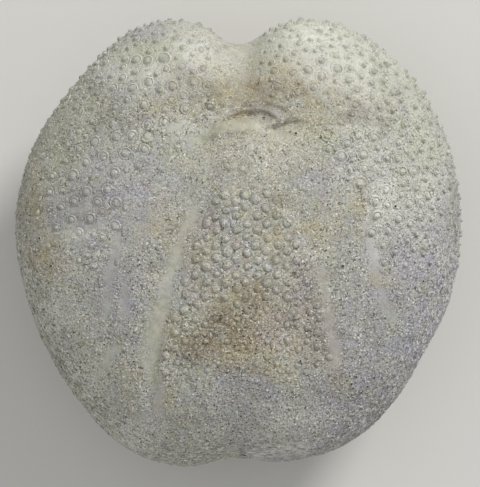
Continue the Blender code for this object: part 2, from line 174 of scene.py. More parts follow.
# The dome side: four sunken petals round the summit, and a groove in place of a fifth one at the front. Each
# petal is an azimuth in degrees from +X, a length, a half-width and a depth.
SUMMIT_Y = 0.6
PETALS = (
    (34, 9.6, 1.25, 0.75),
    (146, 9.6, 1.25, 0.75),
    (-50, 7.2, 1.15, 0.65),
    (-130, 7.2, 1.15, 0.65),
)
PETAL_START = 1.0
SUMMIT_DEPTH, SUMMIT_RADIUS = 0.3, 0.9
FRONT_GROOVE_START, FRONT_GROOVE_DEPTH, FRONT_GROOVE_HALF_WIDTH = 0.25, 0.95, 2.1
KEEL_HEIGHT, KEEL_HALF_WIDTH = 0.22, 1.5
# The vent on the rear face and the hollow it lies in: middle x and height, half-width and half-height.
VENT, VENT_DEPTH, VENT_RIM = (0.1, 5.2, 1.15, 1.55), 0.7, 0.12
REAR_HOLLOW, REAR_HOLLOW_DEPTH = (0.0, 6.2, 4.2, 2.8), 0.35

# Unevenness of the worn stone: the height of each kind and the size of its noise, in millimetres.
SWELL_HEIGHT, SWELL_SIZE = 0.16, 3.2
GRAIN_HEIGHT, GRAIN_SIZE = 0.10, 0.9
DENT_DEPTH, DENT_SIZE = 0.07, 0.6

# Ground without large tubercles: the mouth's ellipse by its middle x and y, half-width and half-length, and
# the lane from there to the notch.
MOUTH_CLEARING = (0.3, 7.7, 4.6, 1.6)
LANE_HALF_WIDTH, LANE_START = 1.7, 7
# On the dome side, round the front groove's middle line, the summit, and the vent as a share of its size.
GROOVE_CLEARING, SUMMIT_CLEARING, VENT_CLEARING = 1.2, 1.3, 1.35

# Tubercles placed at random: how many darts are thrown at each side, and sizes in millimetres.
MOUTH_DARTS, DOME_DARTS = 16000, 9000
FILL_RADIUS = 0.16
DOME_RADIUS, DOME_SPACING = 0.24, 0.86
SMALL_RADII, PIT_RADII = (0.07, 0.11), (0.045, 0.085)  # from and to
RINGED_FROM = 0.3  # the read radius from which a clear tubercle shows its ring
CLEARANCE = 0.04  # between small shapes and the larger ones beside them
AREOLE_DEPTH = 0.075  # of the sunken ring round a tubercle
# How far each kind leans to the rear, as a share of its own axis.
SHIELD_LEAN, PLACED_LEAN, FILL_LEAN, SMALL_LEAN = 0.3, 0.12, 0.15, 0.45

# On the dome side: how much wider apart the smallest tubercles are, in millimetres, and the spacing and the
# radius of the granules as multiples of those on the mouth side.
DOME_SMALL_EXTRA, DOME_GRANULE_SPACING, DOME_GRANULE_RADIUS = 0.14, 1.45, 1.27

# The thickest cluster of pits: middle x and y, half-width and half-length.
PIT_CLUSTER = (7.4, -8.7, 1.3, 1.0)
HOLE_LIFT = 0.06  # how far the clear holes are set proud
# The petals' pores: their step and radius, and their rows as shares of the petal's half-width. The summit's:
# azimuths in degrees, distance from the summit and radius.
PORE_STEP, PORE_RADIUS, PORE_ROWS = 0.27, 0.085, (-0.8, -0.5, 0.5, 0.8)
SUMMIT_PORES, SUMMIT_PORE_REACH, SUMMIT_PORE_RADIUS = (50, 130, 230, 310), 0.42, 0.12

# Where the grid of the stone is closer, across and along the disc: middle, width and how much closer.
CLOSER_ACROSS, CLOSER_ALONG = (0.06, 0.3, 0.8), (0.53, 0.14, 1.6)

SEED = 7

# The clearest tubercles of the mouth side: x, y and the radius of the ring round each.
PLACED_TUBERCLES = (
    # left lobe of the front
    (-4.64, 11.43, 0.48), (-6.38, 11.37, 0.40), (-5.66, 11.31, 0.40), (-3.44, 12.12, 0.35),
    (-2.90, 12.54, 0.35), (-2.27, 12.60, 0.28), (-2.30, 12.05, 0.32), (-3.92, 12.72, 0.33),
    (-5.66, 12.57, 0.30), (-6.30, 12.36, 0.30), (-4.58, 12.93, 0.25), (-3.50, 10.92, 0.38),
    (-2.15, 10.89, 0.33), (-4.50, 10.80, 0.30), (-6.44, 10.62, 0.28), (-7.16, 10.92, 0.30),
    (-5.06, 10.50, 0.28), (-7.20, 10.25, 0.33), (-8.39, 10.02, 0.28), (-5.60, 9.96, 0.40),
    (-6.62, 9.57, 0.42), (-7.79, 9.60, 0.36), (-4.10, 9.72, 0.45), (-2.81, 9.99, 0.34), (-1.85, 9.90, 0.38),
    (-3.44, 9.18, 0.33), (-2.72, 9.24, 0.36), (-1.82, 9.30, 0.25), (-8.96, 8.40, 0.40), (-7.64, 8.40, 0.38),
    (-5.90, 8.55, 0.40), (-4.58, 8.31, 0.32), (-3.26, 8.34, 0.36), (-1.73, 8.56, 0.30), (-4.60, 7.50, 0.33),
    # left flank
    (-9.08, 7.50, 0.35), (-7.82, 7.38, 0.40), (-5.66, 7.32, 0.38), (-7.58, 6.54, 0.42), (-6.62, 6.60, 0.40),
    (-5.66, 6.63, 0.42), (-8.96, 6.24, 0.42), (-8.39, 5.34, 0.42), (-7.01, 5.55, 0.45), (-5.84, 5.79, 0.40),
    (-6.20, 4.74, 0.28), (-9.49, 4.97, 0.38), (-7.72, 4.31, 0.38), (-8.14, 3.29, 0.42),
    (-10.30, 4.13, 0.46), (-10.72, 5.10, 0.32), (-9.46, 3.11, 0.42), (-7.60, 2.45, 0.38),
    (-10.21, 2.54, 0.34), (-8.77, 2.48, 0.33), (-10.90, 3.23, 0.30), (-9.22, 1.43, 0.42),
    (-7.66, 1.01, 0.40), (-11.00, 2.20, 0.30), (-10.39, 1.40, 0.33), (-9.88, 5.81, 0.32),
    (-11.56, 4.10, 0.33), (-11.70, 3.10, 0.32), (-11.30, 0.92, 0.30), (-9.88, 0.60, 0.30),
    (-8.44, 0.30, 0.30), (-9.10, -0.20, 0.28), (-8.44, 1.90, 0.30), (-9.90, 6.90, 0.32),
    (-10.60, 6.10, 0.30), (-9.80, 8.10, 0.30), (-9.50, 9.10, 0.28), (-6.70, 7.60, 0.30),
    (-9.00, -1.50, 0.26), (-9.90, -1.10, 0.26),
    # right lobe of the front
    (3.80, 12.39, 0.36), (3.50, 11.78, 0.34), (3.29, 12.87, 0.22), (5.24, 12.03, 0.36), (5.18, 11.28, 0.38),
    (6.08, 11.60, 0.33), (6.89, 11.55, 0.32), (5.84, 12.24, 0.25), (6.68, 12.18, 0.26), (7.37, 12.21, 0.22),
    (6.38, 12.69, 0.25), (5.54, 12.93, 0.20), (7.64, 11.70, 0.30), (8.39, 11.37, 0.30), (7.82, 11.01, 0.28),
    (6.17, 10.80, 0.44), (7.00, 10.80, 0.30), (8.45, 10.62, 0.32), (8.90, 10.98, 0.24), (7.70, 10.32, 0.30),
    (6.85, 10.08, 0.36), (8.30, 9.90, 0.30), (9.08, 10.02, 0.30), (4.34, 10.74, 0.42), (5.18, 10.32, 0.42),
    (3.41, 10.56, 0.35), (4.70, 9.66, 0.38), (3.74, 9.36, 0.36), (2.42, 9.78, 0.38), (2.18, 10.74, 0.32),
    (0.80, 8.76, 0.26), (7.37, 9.48, 0.33), (8.36, 9.06, 0.30), (8.80, 8.45, 0.33), (5.66, 8.46, 0.30),
    (4.04, 8.58, 0.30), (7.28, 8.54, 0.36), (8.18, 7.80, 0.30), (5.54, 6.66, 0.40), (7.49, 6.63, 0.42),
    (8.48, 6.51, 0.36), (5.66, 5.82, 0.38), (6.80, 6.12, 0.38), (6.41, 5.30, 0.42), (7.79, 5.43, 0.42),
    (2.72, 12.30, 0.28), (2.48, 11.70, 0.30), (1.46, 11.40, 0.26), (4.50, 12.60, 0.24), (9.60, 9.30, 0.28),
    (9.30, 7.40, 0.32), (9.60, 8.20, 0.28), (6.30, 9.30, 0.30), (4.80, 11.90, 0.22), (10.10, 8.80, 0.26),
    # right flank
    (7.62, 3.62, 0.50), (7.00, 4.46, 0.34), (7.85, 4.56, 0.33), (9.94, 5.21, 0.38), (10.00, 6.20, 0.38),
    (10.75, 6.38, 0.32), (11.50, 6.40, 0.28), (11.35, 5.78, 0.28), (12.00, 5.95, 0.25), (12.50, 6.14, 0.22),
    (12.01, 5.36, 0.26), (10.90, 5.27, 0.33), (12.60, 5.50, 0.22), (12.43, 4.98, 0.24), (12.95, 4.91, 0.20),
    (11.77, 4.76, 0.28), (10.99, 4.40, 0.36), (12.30, 4.34, 0.26), (10.24, 4.40, 0.34), (9.04, 4.28, 0.36),
    (12.79, 4.30, 0.22), (11.68, 3.95, 0.28), (12.60, 3.76, 0.22), (10.30, 3.66, 0.33), (9.22, 3.26, 0.38),
    (11.10, 3.36, 0.32), (12.14, 3.40, 0.26), (11.80, 2.86, 0.28), (10.16, 2.96, 0.30), (8.56, 2.50, 0.40),
    (10.66, 2.38, 0.38), (11.41, 2.36, 0.32), (12.50, 2.81, 0.23), (12.10, 2.20, 0.26), (11.29, 1.62, 0.30),
    (8.62, 1.64, 0.38), (10.00, 1.44, 0.40), (10.72, 1.12, 0.32), (12.05, 1.50, 0.26), (9.34, 0.71, 0.38),
    (8.32, 0.60, 0.38), (11.10, 0.55, 0.27), (11.72, 0.50, 0.26), (10.54, 0.10, 0.30), (9.04, -0.20, 0.33),
    (10.96, -0.43, 0.28), (11.59, -0.70, 0.25), (9.80, -0.58, 0.30), (9.10, -1.26, 0.30),
    (9.30, 5.24, 0.30), (12.65, 1.82, 0.22), (11.98, -1.24, 0.24), (10.40, 7.30, 0.30), (11.20, 7.20, 0.27),
    (9.30, 2.30, 0.30), (12.40, 0.80, 0.23), (12.30, -0.10, 0.23), (12.90, 3.20, 0.20), (8.70, 5.90, 0.28),
    (10.40, -1.40, 0.25),
    # in front of the shield
    (0.30, 4.55, 0.34), (-0.70, 4.75, 0.34), (3.00, 4.60, 0.30), (0.00, 6.00, 0.28), (2.05, 5.85, 0.28),
)

# Turned shapes from foot to tip: radius and height as shares of the shape's own radius, and shade. Shade is 2
# in a hole painted near black, painted shade for its depth; 1 where dirt gathers and where shade is painted,
# at the feet and in the ring grooves; 0 on plain stone; -1 on a tip worn pale and given a painted highlight.
RINGED_BOSS = (
    (1.3, -0.45, 0.0), (1.06, -0.02, 0.3), (0.98, 0.05, -0.2), (0.91, 0.02, 0.1), (0.85, -0.07, 0.9),
    (0.68, -0.06, 0.5), (0.58, 0.10, 0.3), (0.44, 0.31, 0.0), (0.28, 0.39, -0.1), (0.19, 0.37, 0.2),
    (0.12, 0.48, -0.5), (0.0, 0.53, -0.9),
)
DOMED_BOSS = (
    (1.35, -0.4, 0.5), (1.2, -0.08, 0.5), (1.13, -0.03, 0.1), (1.05, -0.1, 0.8), (0.97, -0.02, 0.7),
    (0.88, 0.22, 0.1), (0.66, 0.48, 0.0), (0.36, 0.60, 0.0), (0.24, 0.58, 0.1), (0.15, 0.68, -0.4),
    (0.0, 0.72, -0.7),
)
FAINT_BOSS = (
    (1.3, -0.42, 0.0), (1.05, -0.04, 0.3), (0.96, 0.0, 0.0), (0.82, -0.08, 1.0), (0.66, 0.1, 0.5),
    (0.42, 0.42, -0.1), (0.0, 0.58, -0.7),
)
SCALE_BOSS = ((1.15, -0.5, 1.0), (1.0, -0.02, 1.0), (0.8, 0.24, 0.0), (0.0, 0.42, -0.3))
GRANULE = ((1.05, -0.3, 0.7), (0.0, 0.5, -0.8))
PIT = ((1.4, -0.8, 0.0), (1.12, 0.05, -0.1), (0.9, 0.06, 1.0), (0.65, 0.02, 2.0), (0.0, 0.02, 2.0))

# Stains on the mouth side by kind: middle x and y, half-width, half-length and strength.
STAINS = {
    "rust": (
        (0.9, -3.6, 1, 1.1, 0.8), (-1, -4.9, 1.1, 1.3, 0.7), (0.2, -5.9, 1.4, 1, 0.65),
        (-1.7, -6.5, 1.4, 0.8, 0.7), (0.5, -7.6, 1.3, 0.5, 0.3), (6.3, -8.7, 0.5, 0.8, 0.6),
        (-3, -6.8, 0.9, 0.6, 0.4), (-4.1, 0.3, 0.5, 0.6, 0.6), (-11, -1.6, 0.9, 1, 0.4),
        (-8.7, 9.2, 0.6, 0.6, 0.3), (-3.8, 10.6, 0.4, 0.4, 0.3), (7.2, 8.5, 0.7, 0.7, 0.3),
        (1.2, 9.6, 1.2, 0.7, 0.55), (3.9, 9.6, 0.6, 0.5, 0.6), (0.3, 8.05, 0.7, 0.2, 0.25),
    ),
    "ochre": (
        (-1.1, 9.2, 1.3, 1, 0.7), (2.8, -5.4, 1.7, 1.5, 0.6), (0, -3.2, 2, 1.2, 0.45), (9, -2.4, 1, 1, 0.4),
        (1.3, -7.1, 1.3, 0.7, 0.5), (-0.7, -4.5, 1.2, 1, 0.4), (1.4, -5.7, 1.1, 1.1, 0.7),
        (2.6, 10.4, 1.4, 1, 0.5), (0.9, -6.4, 3, 1.6, 0.6), (-3.9, -5.8, 0.9, 1.1, 0.6),
        (-2.4, -1.2, 1.3, 1.5, 0.4), (4.7, 0.8, 1.2, 1.1, 0.5), (7.6, 2.1, 0.8, 1.6, 0.45),
        (2.3, 0.2, 1.1, 1, 0.4), (2.7, 2.4, 0.8, 0.9, 0.4), (-4.6, 1.1, 1.2, 0.9, 0.6),
        (0.8, 9.3, 3.4, 1.6, 0.5), (4.9, 8.4, 2, 1.2, 0.5), (-12.7, 2.5, 0.6, 2.2, 0.7),
        (-12.1, -0.8, 1, 1.2, 0.7), (-4.6, 8.2, 1.3, 0.7, 0.25), (1.5, 6.4, 4, 2.4, 0.3),
        (-7, -8, 1.2, 0.6, 0.4), (3.2, -8.1, 0.8, 0.5, 0.5), (-4.4, -9.4, 0.9, 0.9, 0.4),
        (-6.8, -10.2, 0.7, 1, 0.4),
    ),
    "green": (
        (4.6, 12.9, 2.6, 1, 0.9), (8, 10.6, 2, 1.2, 0.5), (1.6, 11.6, 1.6, 1.2, 0.5),
        (5, 6.4, 1.6, 1.6, 0.5), (11.4, 5.6, 1.4, 3, 0.5), (-5.2, 11.8, 1.8, 1.2, 0.6),
        (-11.2, 5.6, 1.4, 3.4, 0.5), (-9.6, 8.6, 1.2, 1.8, 0.4), (-4.4, 5.6, 1.8, 1.2, 0.4),
        (-11.8, -4.6, 1.2, 2.2, 0.4), (-9.4, -8.6, 1.2, 1.8, 0.5), (-3.4, -5.4, 0.9, 0.9, 0.5),
        (-5.6, -4.9, 0.7, 1, 0.4), (5.6, -2.6, 0.8, 1.1, 0.4), (9.6, -5.2, 0.7, 0.9, 0.4),
        (1.2, -6.9, 0.8, 0.5, 0.6),
    ),
    "blue": (
        (1.4, -9.5, 1.2, 1, 0.4), (8.5, -9.9, 1.6, 1.5, 0.3), (-8.4, 3, 3.4, 3.2, 0.4),
        (-6.7, 2.2, 1, 1.2, 0.3), (-11, 1.8, 1, 1, 0.3), (0.4, -9.4, 1.5, 1.8, 0.6),
        (-7.4, -3.4, 1.6, 2.8, 0.38), (8.6, -3, 2.2, 3.2, 0.45), (11.6, -4.6, 3, 4.4, 0.6),
        (9.8, -8.8, 3.4, 3.4, 0.6), (7.4, -10.9, 3, 2.2, 0.7), (2.9, -13.2, 2.4, 0.8, 0.6),
        (-5.6, 13, 1.6, 0.6, 0.5), (6.7, 5, 1, 1.4, 0.4), (4.5, 3.7, 1.2, 0.9, 0.4),
        (-5.9, -10.9, 0.9, 0.8, 0.45), (12.4, 1.6, 1.8, 5, 0.45), (8.6, 3.2, 0.9, 2.4, 0.35),
        (-3.2, -2.2, 0.8, 1.6, 0.3), (-5.6, 4.9, 1.4, 1.8, 0.3),
    ),
    # some pale patches are painted light, such as (11.9, 3.4), where the right flank faces the lamp
    "pale": (
        (9.2, 2.2, 1.2, 1.8, 0.8), (4.6, 13, 2.4, 1, 0.7), (2.6, 5.6, 1.5, 1.1, 0.35),
        (-5.4, 10.4, 1.3, 0.9, 0.5), (7.4, 10.6, 1.5, 1.1, 0.3), (-10.6, -1.6, 1, 0.9, 0.45),
        (-11.2, -4.6, 1.1, 1.2, 0.5), (-9.2, -8.8, 1.1, 1.2, 0.45), (-6.4, -11.7, 1.3, 0.9, 0.7),
        (3.4, -11.2, 2.6, 1.1, 0.45), (0.6, 7.3, 1.2, 0.3, 0.4), (5.8, 11, 4.6, 2.4, 0.42),
        (-2.6, 11.9, 1.6, 1, 0.6), (1.6, 6, 1.5, 0.8, 0.3), (-3.3, 7.1, 1.2, 0.7, 0.4),
        (8.6, 5.6, 2, 2.2, 0.3), (-7.6, 10.6, 1.8, 1, 0.3), (-10.2, 0.5, 1.7, 0.25, 0.6),
        (11.9, 3.4, 1.4, 2.8, 0.42), (3, -7.1, 0.7, 0.5, 0.5), (8.5, -0.6, 0.5, 1.6, 0.35),
        (6.8, 6.8, 1, 0.5, 0.25),
    ),
    # some of these patches are painted shade, such as the band at (-1.2, 9.1) above the mouth and the right
    # rim at (13.3, 2.4)
    "dim": (
        (9.4, -7.6, 1.6, 2, 0.35), (13.3, 2.4, 0.7, 2.6, 0.6), (-13, 1.8, 0.8, 2.2, 0.5),
        (-11.3, -7.2, 1, 1.8, 0.4), (-0.8, 12.3, 0.8, 0.8, 0.45), (-1.3, 2.5, 0.8, 0.7, 0.4),
        (-3.1, 3.4, 0.7, 1.3, 0.35), (-5.5, -1.2, 1.3, 0.7, 0.5), (0.4, 4.8, 1.3, 1, 0.35),
        (3.3, -1.2, 1.4, 1.2, 0.35), (9.6, -3.4, 1, 1.3, 0.35), (-10.9, 6.2, 1, 1.5, 0.45),
        (5.4, -8.8, 1, 1.2, 0.4), (-1.3, 6.8, 1.2, 0.8, 0.6), (2.8, 2.5, 1.5, 1.3, 0.55),
        (2.8, -3.5, 2.2, 0.9, 0.45), (8.8, 7.3, 0.9, 0.8, 0.35), (3.3, -4.9, 0.8, 0.8, 0.6),
        (5, -6.2, 0.9, 1.8, 0.65), (-9.5, 2.4, 1.8, 1.6, 0.4), (3.2, 7.3, 0.8, 0.6, 0.3),
        (-1.2, 9.1, 1.9, 1.1, 0.75), (2.2, 9, 1.8, 0.9, 0.65), (-8.1, 8.3, 1.2, 1.2, 0.5),
        (-8.9, 6.6, 1.4, 1.2, 0.4), (4.2, 4.6, 1.4, 1, 0.25), (4.8, -3.5, 1, 1, 0.4),
        (8, -10, 2.4, 1.8, 0.55), (4.6, 8.8, 1.2, 0.7, 0.3), (2.9, 7.5, 1.2, 0.5, 0.4),
        (7.1, 7.9, 1.3, 0.6, 0.6), (-7.4, 8, 2, 0.8, 0.35), (-2.9, -7.2, 0.9, 0.7, 0.7),
        (-1.1, -5.2, 0.9, 1.2, 0.6), (-2.7, -1, 1, 1, 0.35), (8.5, -5.8, 0.6, 1.2, 0.5),
        (11.4, -2.7, 0.7, 0.7, 0.4), (6.6, -1.6, 1.6, 1.8, 0.35), (5.6, -5, 1.8, 3, 0.2),
        (-7.2, -2.3, 0.8, 1.3, 0.35), (-7.8, -6, 0.9, 1.6, 0.3), (-3.6, -11, 2.2, 0.5, 0.3),
        (0.3, -10.3, 0.7, 0.6, 0.25),
    ),
    "rose": (
        (2, -6.2, 1.2, 0.9, 0.6), (4.3, -3.6, 1, 1.8, 0.6), (4.9, -5.9, 0.9, 1.5, 0.7),
        (3.9, -1.6, 0.6, 0.6, 0.6), (2.4, -4.9, 1.4, 0.9, 0.6), (-1.7, 1.2, 0.9, 0.7, 0.7),
    ),
}
# Stains that follow the mouth's forms: kind, path, half-width and strength.
STAINED_LINES = (
    ("rose", ((-0.45, 8.12), (0.22, 8.42), (1.06, 8.46), (1.7, 8.35)), 0.18, 0.7),
    ("blue", ((0.9, 8.5), (1.7, 8.4), (2.3, 8.1), (2.7, 7.65)), 0.26, 0.7),
    ("green", ((1.4, 8.25), (2.0, 8.0), (2.4, 7.65)), 0.13, 0.8),
    ("ochre", ((-0.5, 7.88), (0.2, 8.11), (0.85, 8.14)), 0.2, 1.0),
    ("rose", ((-0.5, 7.68), (0.4, 7.85), (1.2, 7.8)), 0.14, 0.6),
    ("green", ((-0.8, 7.2), (0.3, 7.35), (1.2, 7.3)), 0.4, 0.8),
    ("pale", ((1.0, 7.2), (1.7, 7.1)), 0.25, 0.6),
    ("green", ((-2.3, 6.4), (-1.5, 6.85), (-0.8, 7.3)), 0.45, 0.8),
    # the next three lines are painted shade: the band above the mouth and the grooves beside it
    ("dim", ((-1.3, 9.3), (-1.3, 8.7), (-0.7, 8.5), (0.2, 8.65), (0.7, 8.8)), 0.28, 0.5),
    ("dim", ((1.2, 8.6), (2.0, 8.5), (2.8, 8.35), (3.3, 8.0), (3.2, 7.7)), 0.35, 0.4),
    ("dim", ((1.76, 7.1), (2.35, 7.27), (2.98, 7.44), (3.6, 7.6)), 0.18, 0.7),
    ("pale", ((-10.9, 0.1), (-9.6, 0.35), (-8.6, 0.8), (-8.2, 1.0)), 0.16, 0.5),
    ("green", ((-2.6, 2.2), (-4.15, -1.7), (-5.1, -5.3), (-5.3, -8.4)), 0.7, 0.1),
    ("dim", ((-4.7, -3.8), (-5.1, -5.3), (-5.3, -8.4)), 0.6, 0.3),
    ("blue", ((8.0, 0.9), (8.7, -2.3), (9.5, -4.8)), 0.5, 0.4),
    ("rose", ((5.2, -1.8), (5.7, -4.4), (6.0, -7.6)), 0.5, 0.25),
    ("pale", ((1.2, -13.1), (2.4, -13.0), (4.4, -12.8)), 0.5, 0.45),
    ("dim", ((0.3, -12.9), (0.45, -13.6)), 0.25, 0.6),
    ("pale", ((0.78, 6.08), (1.22, 5.48)), 0.12, 1.0),
    ("pale", ((1.25, 7.35), (1.5, 7.1), (1.85, 6.9)), 0.12, 0.9),
)

STAIN_GAIN = 1.35  # the stains of STAINS are laid on this much stronger
# Noise pushes them about: how far and its size. On the dome side: their strength and the size of the patches.
STAIN_PUSH, STAIN_PUSH_SIZE = 1.1, 1.6
DOME_STAIN_STRENGTH, DOME_STAIN_SIZE = 0.55, 4.0

# Clouds of colour all over the stone: their size in millimetres, the noise values between which they rise to
# full, and their strength when full.
CLOUDS = (
    ("warm", 1.3, 0.5, 0.68, 0.7),
    ("cool", 1.1, 0.48, 0.34, 0.7),
    ("rose", 0.45, 0.54, 0.68, 0.75),
    ("olive", 0.5, 0.54, 0.68, 0.75),
)
# The noise that breaks up each kind of stain: its size in millimetres, and the values between which the stain
# rises to full.
STAIN_NOISE = (
    ("blue", 1.2, 0.2, 0.6),
    ("green", 0.8, 0.2, 0.6),
    ("pale", 0.9, 0.1, 0.5),
    ("ochre", 0.9, 0.25, 0.6),
    ("rose", 0.5, 0.25, 0.6),
    ("dim", 0.45, 0.25, 0.7),
)
GRAIN_NOISE_SIZE, ROW_NOISE_SIZE = 0.085, 0.12  # millimetres

# The stage. The lamps are discs: place and diameter in metres.
FLOOR_GAP = 0.02  # millimetres below the stone
KEY_LAMP = ((0.22, 0.29, 0.27), 0.14)
FILL_LAMP = ((-0.12, 0.02, 0.45), 0.5)
ROOM_COLOUR = "#EDEFF2"

# The camera looks straight down. It is off centre by the same small amount as the picture it frames.
PICTURE_WIDTH, PICTURE_HEIGHT = 480, 487  # pixels
PIXELS_PER_MM = 16.07
AIM_X, AIM_Y = 0.124, -0.062  # millimetres
LENS, SENSOR = 250, 36  # millimetres
CAMERA_RISE = max(PICTURE_WIDTH, PICTURE_HEIGHT) / PIXELS_PER_MM * LENS / SENSOR  # millimetres above the rim


def seen(points):
    """Points with x and y as they look from the camera's height: the higher a point, the further out it
    looks. All places read off on the mouth side are places as seen."""
    spread = 1 / (1 - (points[:, 2:] - RIM_HEIGHT) / CAMERA_RISE)
    return np.column_stack([points[:, :2] * spread, points[:, 2]])


def linear(hex_colour):
    """An sRGB hex colour as linear red, green, blue and alpha."""
    parts = [int(hex_colour[i : i + 2], 16) / 255 for i in (1, 3, 5)]
    return [p / 12.92 if p <= 0.04045 else ((p + 0.055) / 1.055) ** 2.4 for p in parts] + [1.0]


# ---------------------------------------------------------------- numbers and noise


def smoothstep(low, high, x):
    """0 below low, 1 above high, and a smooth S between."""
    t = np.clip((x - low) / (high - low), 0, 1)
    return t * t * (3 - 2 * t)


def bell(x, y, middle_x, middle_y, half_width, half_length):
    """A soft ellipse: 1 in its middle, falling off to both sides like a bell, 0.37 at its half-sizes."""
    return np.exp(-(((x - middle_x) / half_width) ** 2) - ((y - middle_y) / half_length) ** 2)


def together(one, other):
    """Two strengths from 0 to 1 laid over each other: clear only as far as both are clear."""
    return 1 - (1 - one) * (1 - other)


def polar(reach, azimuth):
    """Points in plan from their distance to the middle and their azimuth in radians."""
    return np.column_stack([reach * np.cos(azimuth), reach * np.sin(azimuth)])


def unit_rows(vectors):
    """Vectors, one a row, brought to a length of 1."""
    return vectors / np.linalg.norm(vectors, axis=1, keepdims=True)


def lattice_value(cell, seed):
    """A fixed random value from 0 to 1 for each whole-numbered cell: its coordinates mixed by a hash."""
    h = (cell[..., 0] * 73856093) ^ (cell[..., 1] * 19349663) ^ (cell[..., 2] * 83492791)
    h = h ^ (seed * 2654435761)
    h = (h ^ (h >> 13)) * 1274126177
    h = (h ^ (h >> 16)) & 0xFFFFFF
    return h / 0xFFFFFF


def noise(points, size, seed):
    """Smooth noise from 0 to 1: random values on a cubic lattice, blended between a cell's eight corners."""
    grid = points / size
    cell = np.floor(grid).astype(np.int64)
    t = smoothstep(0, 1, grid - cell)
    total = np.zeros(len(points))
    for corner in np.ndindex(2, 2, 2):
        weight = np.prod(np.where(corner, t, 1 - t), axis=1)
        total += weight * lattice_value(cell + np.array(corner), seed)
    return total


def rough(points, size, seed, octaves=3):
    """Noise summed over octaves, each half as large and half as strong as the one before, from 0 to 1."""
    shares = 0.5 ** np.arange(octaves)
    layers = [s * noise(points, size * s, seed + i) for i, s in enumerate(shares)]
    return sum(layers) / shares.sum()


def nearest_share(points, centres, radii):
    """For each point, the smallest distance to a centre as a share of that centre's radius. The centres are
    taken 64 at a time, to save memory."""
    best = np.full(len(points), np.inf)
    square = (points**2).sum(axis=1)[:, None]
    for start in range(0, len(centres), 64):
        few, reach = centres[start : start + 64], radii[start : start + 64]
        gap = square + (few**2).sum(axis=1) - 2 * points @ few.T
        best = np.minimum(best, (gap / reach**2).min(axis=1))
    return np.sqrt(np.maximum(best, 0))


# ---------------------------------------------------------------- the shell's form


def outline_radius(azimuth):
    """The outline's radius at an azimuth in radians, on a cubic through OUTLINE that closes on itself."""
    angle, radius = np.radians([a for a, _ in OUTLINE]), np.array([r for _, r in OUTLINE])
    angle = np.concatenate([angle[-2:] - math.tau, angle, angle[:2] + math.tau])
    radius = np.concatenate([radius[-2:], radius, radius[:2]])
    slope = np.gradient(radius, angle)
    x = np.mod(azimuth, math.tau)
    i = np.clip(np.searchsorted(angle, x, side="right") - 1, 0, len(angle) - 2)
    step = angle[i + 1] - angle[i]
    t = (x - angle[i]) / step
    return (
        (1 + 2 * t) * (1 - t) ** 2 * radius[i]
        + t * (1 - t) ** 2 * step * slope[i]
        + t * t * (3 - 2 * t) * radius[i + 1]
        + t * t * (t - 1) * step * slope[i + 1]
    )


def section(share, squareness):
    """Height of a superellipse of unit size at a share of its half-width."""
    return (1 - np.clip(share, 0, 1) ** squareness) ** (1 / squareness)


def even_share(reach, rise, squareness):
    """The share of the half-width at a share of the arc from the middle to the rim, for even points."""
    share = np.sin(np.linspace(0, math.pi / 2, 400))
    height = section(share, squareness) * rise
    arc = np.concatenate([[0], np.cumsum(np.hypot(np.diff(share * MEAN_RADIUS), np.diff(height)))])
    return np.interp(reach, arc / arc[-1], share)


def plain_point(disc, side):
    """Where points of the unit disc lie on the plain shell: a superellipse section over the heart outline."""
    reach = np.clip(np.linalg.norm(disc, axis=1), 0, 1)
    azimuth = np.arctan2(disc[:, 1], disc[:, 0])
    if side > 0:
        rise, squareness = MOUTH_SIDE_RISE, MOUTH_SIDE_SQUARENESS
    else:
        rearward = (0.5 - 0.5 * np.sin(azimuth)) ** 2
        rise = -DOME_DROP
        squareness = DOME_SQUARENESS_FRONT + (DOME_SQUARENESS_REAR - DOME_SQUARENESS_FRONT) * rearward
    mean_squareness = MOUTH_SIDE_SQUARENESS if side > 0 else DOME_SQUARENESS_FRONT
    share = even_share(reach, rise, mean_squareness)
    out = share * outline_radius(azimuth)
    height = RIM_HEIGHT + rise * section(share, squareness)
    return np.column_stack([polar(out, azimuth), height])


def normal_of(shape, disc, side):
    """The outward normal of a shape: the cross product of its steps across and along the disc."""
    step = 0.004
    inner = disc * (1 - 2 * step)
    across = shape(inner + [step, 0], side) - shape(inner - [step, 0], side)
    along = shape(inner + [0, step], side) - shape(inner - [0, step], side)
    return unit_rows(np.cross(across, along) * side)


def distance_to_path(x, y, path):
    """Distance in plan to a path of straight stretches, and how far along it that is, from 0 to 1."""
    path = np.array(path, float)
    lengths = np.linalg.norm(np.diff(path, axis=0), axis=1)
    starts = np.concatenate([[0], np.cumsum(lengths)])
    nearest, place = np.full(x.shape, np.inf), np.zeros(x.shape)
    for (ax, ay), (bx, by), length, start in zip(path[:-1], path[1:], lengths, starts):
        t = np.clip(((x - ax) * (bx - ax) + (y - ay) * (by - ay)) / length**2, 0, 1)
        distance = np.hypot(x - ax - t * (bx - ax), y - ay - t * (by - ay))
        closer = distance < nearest
        nearest = np.where(closer, distance, nearest)
        place = np.where(closer, (start + t * length) / starts[-1], place)
    return nearest, place


def away_from(x, y, form):
    """Distance in plan to the path of a form, such as MOUTH_SLIT."""
    return distance_to_path(x, y, form[0])[0]


def ridge(x, y, path, half_width, height):
    """A rounded ridge along a path, or a groove where height is negative, with tapered ends."""
    distance, place = distance_to_path(x, y, path)
    taper = np.clip(np.sin(math.pi * np.clip(place, 0.02, 0.98)) * 1.6, 0, 1)
    return height * taper * (1 - smoothstep(0.25, 1, distance / half_width))


def shield_share(x, y):
    """How far across the shield a point is: 0 on its middle line and 1 on its edge."""
    rows = np.array(sorted(SHIELD))
    return np.abs(x - np.interp(y, rows[:, 0], rows[:, 1])) / np.interp(y, rows[:, 0], rows[:, 2])


